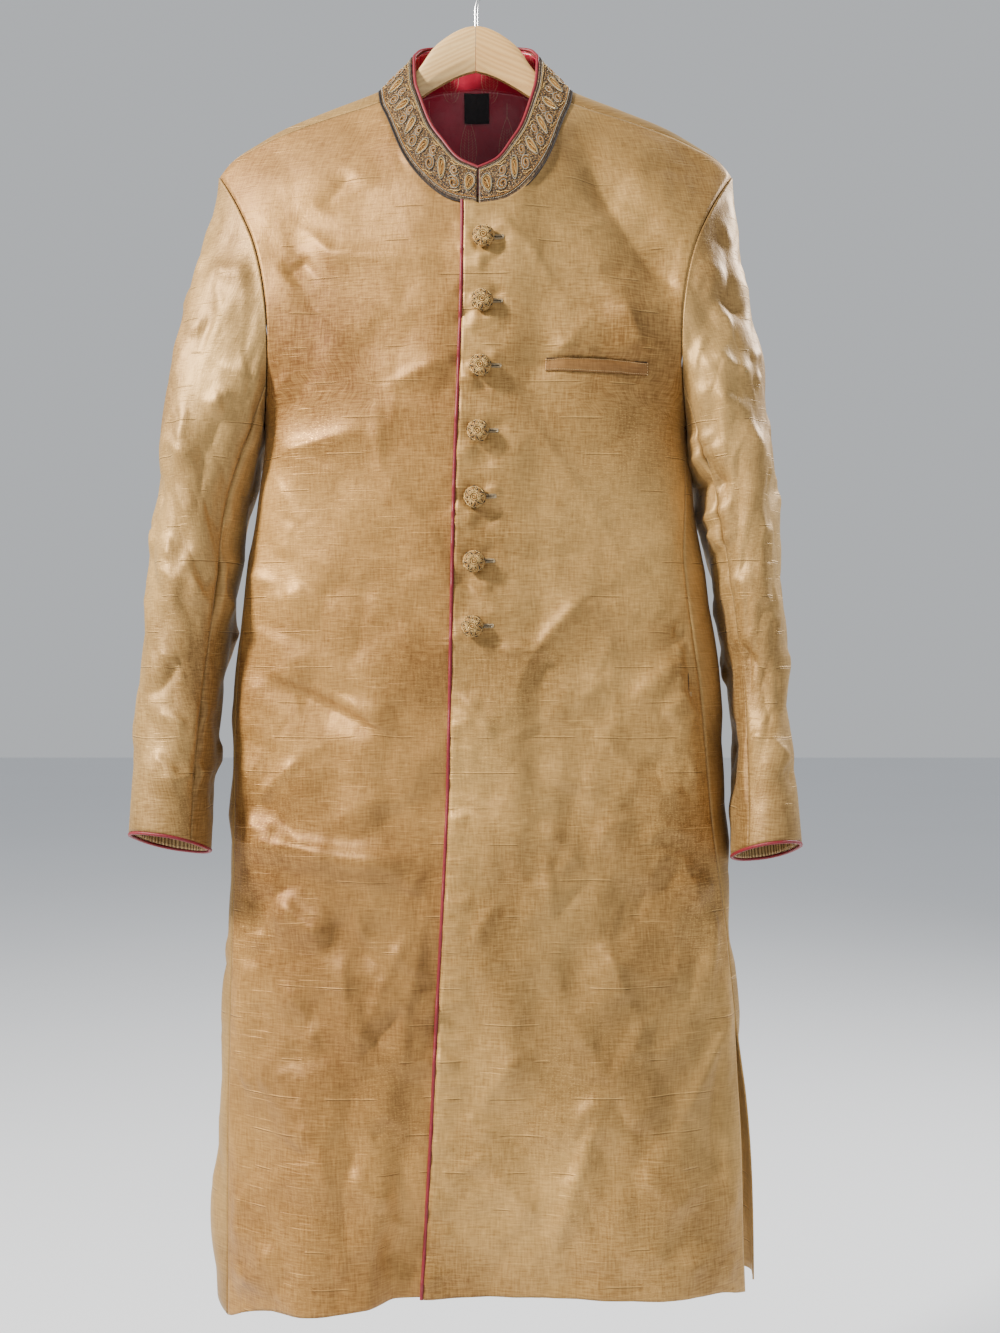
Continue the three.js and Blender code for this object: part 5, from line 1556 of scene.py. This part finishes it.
def buttonholes():
    """A worked bar shows beside each button: two rows of upright stitches round a slit, and its end. A thin
    black cord along each slit is painted shade in the opening.
    """
    bars, slit_shades = [], []
    for k in range(BUTTON.count):
        x, z = button_place(k)
        for row in (-1, 1):
            for reach in np.arange(4.0, 17.5, 0.62):
                heights = z + 0.6 + row * np.array([0.45, 1.3, 2.1])
                points, _ = on_over_front(np.full(3, x + reach), heights, 0.28)
                bars.append(points)
        for turn in np.linspace(-1.3, 1.3, 9):
            steps = np.array([0.5, 1.3, 2.2])
            across, up = x + 17.4 + steps * math.cos(turn), z + 0.6 + steps * math.sin(turn)
            points, _ = on_over_front(across, up, 0.28)
            bars.append(points)
        # a thin black cord along the slit: painted shade in its opening
        points, _ = on_over_front(np.linspace(x + 4, x + 17.4, 12), np.full(12, z + 0.6), 0.08)
        slit_shades.append(points)
    parts = [cord_piece("bars", bars[::2], 0.30, FINISHES.silver, 0.8, 5),
             cord_piece("bars", bars[1::2], 0.30, FINISHES.sewing, 0.8, 5),
             cord_piece("slit_shades", slit_shades, 0.42, FINISHES.black, 1.5, 6)]
    finish_piece(joined("buttonhole_stitches", parts), "button_thread")


def ball_radius(height):
    """The button's radius at a height above the cloth."""
    return read([0, 1.2, 2.2, 4.0, 6.0, 8.2, 9.8, 10.6], [3.2, 3.4, 7.6, 9.3, 9.6, 7.9, 4.6, 0.05], height)


def button(k):
    """A padded ball worked over in bands of thread that cross, with a knot at its middle."""
    x, z = button_place(k)
    points, normals = on_over_front(np.array([x]), np.array([z]), 0.1)
    base, axis = points[0], mix(normals[0], np.array([0, -1.0, 0]), 0.6)
    axis = axis / np.linalg.norm(axis)
    right = np.cross([0, 0, 1.0], axis)
    right = right / np.linalg.norm(right)
    rise = np.cross(axis, right)
    spin = 0.7 * k

    def place(height, angle, out=0.0):
        radius = ball_radius(height) + out
        across, up = radius * np.cos(angle + spin), radius * np.sin(angle + spin)
        ring = right * across[..., None] + rise * up[..., None]
        return base + axis * (height + out * 0.4)[..., None] + ring

    turns, rings = 28, 14
    height, angle = np.meshgrid(np.linspace(0, 10.6, rings),
                                np.arange(turns) / turns * 2 * np.pi, indexing="ij")
    grid = place(height, angle)
    verts = np.concatenate([grid.reshape(-1, 3), base[None], (base + axis * 10.7)[None]])
    index = np.arange(rings * turns).reshape(rings, turns)
    after = np.roll(index, -1, 1)
    quads = np.stack([index[:-1], index[1:], after[1:], after[:-1]], -1).reshape(-1, 4)
    foot, crown = rings * turns, rings * turns + 1
    caps = [[foot, a, b] for a, b in zip(index[0], after[0])]
    caps += [[crown, b, a] for a, b in zip(index[-1], after[-1])]
    body = bpy.data.meshes.new("ball")
    body.from_pydata((verts * MM).tolist(), [], quads.tolist() + caps)
    body.polygons.foreach_set("use_smooth", [True] * len(body.polygons))
    core = new_object("ball", body, FINISHES.ochre)
    parts = [core]
    threads = {"gold": [], "silver": [], "ochre": [], "black": []}
    sweep = np.linspace(-1, 1, 26)
    bands = (("gold", -0.34), ("ochre", -0.12), ("gold", 0.10), ("black", 0.30))
    for lobe in range(6):
        for number, (thread, offset) in enumerate(bands):
            level = 10.2 - 8.0 * np.abs(sweep) ** 1.35
            bend = lobe * np.pi / 3 + sweep * 1.05 + offset * (0.35 + 0.65 * np.abs(sweep))
            threads[thread].append(place(level, bend, 0.15 + 0.22 * ((lobe + number) % 2)))
    knot = np.linspace(0, 8 * np.pi, 60)
    threads["gold"].append(place(10.55 - knot * 0.045, knot, 0.35))
    threads["gold"].append(place(np.full(30, 7.4), np.linspace(0, 2 * np.pi, 30), 0.4))
    for thread, paths in threads.items():
        parts.append(cord_piece(thread, paths, 0.55, getattr(FINISHES, thread), 1.1, 5))
    finish_piece(joined(f"button_{k + 1}_worked", parts), "button_thread", f"button_{k + 1}")


def side_pocket():
    """The side pocket opens in a seam: a thin black cord down its closed mouth as painted shade, and a bar of
    stitches across each end.
    """
    z = np.linspace(SIDE_POCKET.top, SIDE_POCKET.bottom, 60)
    # a thin black cord down the seam: painted shade in the pocket's closed mouth
    mouth, _ = on_over_front(np.full(60, SIDE_POCKET.x), z, 0.0)
    finish_piece(cord_piece("side_pocket_mouth_shade", [mouth], 0.5, FINISHES.black, 1.6, 6), "shell_silk")
    bars = []
    for end in (SIDE_POCKET.top, SIDE_POCKET.bottom):
        for step in np.arange(-2.0, 2.1, 0.7):
            points, _ = on_over_front(SIDE_POCKET.x + np.array([-2.6, 0, 2.6]), np.full(3, end + step), 0.25)
            bars.append(points)
    finish_piece(cord_piece("side_pocket_bars", bars, 0.28, FINISHES.sewing, 0.8, 5), "shell_silk")


chest_welt()
side_pocket()
buttonholes()
for k in range(BUTTON.count):
    button(k)

# ------------------------------------------------------------------ hanger


def hanger_arm(side, word, finish):
    """An arm of contoured wood: a bevel along its lower edges and rounded top edges."""
    x = np.concatenate([np.linspace(ARM["x"][0], 60, 34), np.linspace(64, ARM["x"][-1], 46)])
    top, bottom, half = (read(ARM["x"], ARM[c], x) for c in ("top", "bottom", "half"))
    profile = [(-0.40, 0.0), (-0.94, 0.22), (-1.0, 0.27), (-1.0, 0.78), (-0.93, 0.90), (-0.74, 0.98),
               (-0.40, 1.0),
               (0.40, 1.0), (0.74, 0.98), (0.93, 0.90), (1.0, 0.78), (1.0, 0.27), (0.94, 0.22), (0.40, 0.0)]
    round_end = np.sqrt(np.clip((ARM["x"][-1] + 0.5 - x) / 7.0, 0.02, 1))
    rings = np.stack([np.stack([side * x, y * half * round_end,
                                mix(mix(bottom, top, 0.5), mix(bottom, top, up), round_end)], -1)
                      for y, up in profile], 1)
    count, around = rings.shape[:2]
    index = np.arange(count * around).reshape(count, around)
    after = np.roll(index, -1, 1)
    quads = np.stack([index[:-1], index[1:], after[1:], after[:-1]], -1).reshape(-1, 4)
    verts = rings.reshape(-1, 3)
    verts = np.concatenate([verts, rings[:1].mean(1), rings[-1:].mean(1)])
    near, far = count * around, count * around + 1
    fans = [[near, a, b] for a, b in zip(index[0], after[0])]
    fans += [[far, b, a] for a, b in zip(index[-1], after[-1])]
    mesh = bpy.data.meshes.new(f"hanger_{word}")
    faces = quads.tolist() + fans
    corners = np.array([verts[f[:3]] for f in faces])
    volume = np.sum(corners[:, 0] * np.cross(corners[:, 1], corners[:, 2]))
    if volume < 0:
        faces = [f[::-1] for f in faces]
    mesh.from_pydata((verts * MM).tolist(), [], faces)
    mesh.polygons.foreach_set("use_smooth", [True] * len(mesh.polygons))
    piece = new_object(f"hanger_{word}_wood", mesh, finish)
    crisp = piece.modifiers.new("edges", "EDGE_SPLIT")
    crisp.split_angle = math.radians(32)
    return finish_piece(piece, "hanger_wood", f"hanger_arm_{word}")


def hanger_hook():
    turn = np.linspace(-0.28, 1.16, 60) * np.pi
    centre_z = HOOK.wire - HOOK.bend
    bend = np.stack([HOOK.bend * np.cos(turn), np.zeros(60), centre_z + HOOK.bend * np.sin(turn)], -1)
    share = np.linspace(0, 1, 14)[:-1]
    first = bend[0]
    neck = np.stack([first[0] * share ** 2.2, np.zeros(13), mix(HOOK.stem_top - 8, first[2], share)], -1)
    stem = np.array([[0, 0, -78.0], [0, 0, -71.0]])
    path = np.concatenate([stem, neck, bend])
    piece = cord_piece("hanger_hook_wire", [path], HOOK.wire, FINISHES.steel, 1.6, 14)
    return finish_piece(piece, "hook_steel", "hanger_hook")


hanger_arm(1, "left", FINISHES.wood_left)
hanger_arm(-1, "right", FINISHES.wood_right)
hanger_hook()

# ------------------------------------------------------------------ floor, light and camera


def plain_floor():
    f = Finish("pale_floor")
    tone = f.object_noise(0.8, 2.0)
    material = f.surface(base_color=f.blend(tone, (0.76, 0.78, 0.81), (0.80, 0.82, 0.85)), roughness=0.9)
    mesh = bpy.data.meshes.new("floor")
    size, low = FLOOR.half, MODEL_BOX[0].z - FLOOR.drop
    mesh.from_pydata([(-size, -size, low), (size, -size, low), (size, size, low), (-size, size, low)], [],
                     [(0, 1, 2, 3)])
    new_object("floor", mesh, material)


def soft_light(name, place, aim, size, power, colour):
    light = bpy.data.lights.new(name, "AREA")
    light.size, light.energy, light.color = size, power, colour
    made = bpy.data.objects.new(name, light)
    made.location = place
    made.rotation_euler = (Vector(aim) - Vector(place)).to_track_quat("-Z", "Y").to_euler()
    bpy.context.scene.collection.objects.link(made)


def studio():
    world = bpy.data.worlds.new("pale_room")
    world.use_nodes = True
    world.node_tree.nodes["Background"].inputs["Color"].default_value = (0.88, 0.91, 0.95, 1)
    world.node_tree.nodes["Background"].inputs["Strength"].default_value = 0.60
    bpy.context.scene.world = world
    plain_floor()
    soft_light("key", (-2.0, -1.05, 0.95), (0.0, 0.0, -0.45), 0.34, 205, (1.0, 0.96, 0.90))
    soft_light("fill", (1.7, -1.9, 0.2), (0.0, 0.0, -0.8), 1.2, 8, (0.96, 0.97, 1.0))
    soft_light("rear", (2.0, 1.15, 0.9), (0.0, 0.0, -0.5), 0.45, 105, (1.0, 0.98, 0.95))


def camera():
    data = bpy.data.cameras.new("camera")
    data.sensor_width, data.lens = CAMERA.sensor, CAMERA.lens
    data.clip_start, data.clip_end = 0.05, 60
    made = bpy.data.objects.new("camera", data)
    made.location = CAMERA.place
    made.rotation_euler = (math.pi / 2, 0, 0)
    bpy.context.scene.collection.objects.link(made)
    bpy.context.scene.camera = made


studio()
camera()
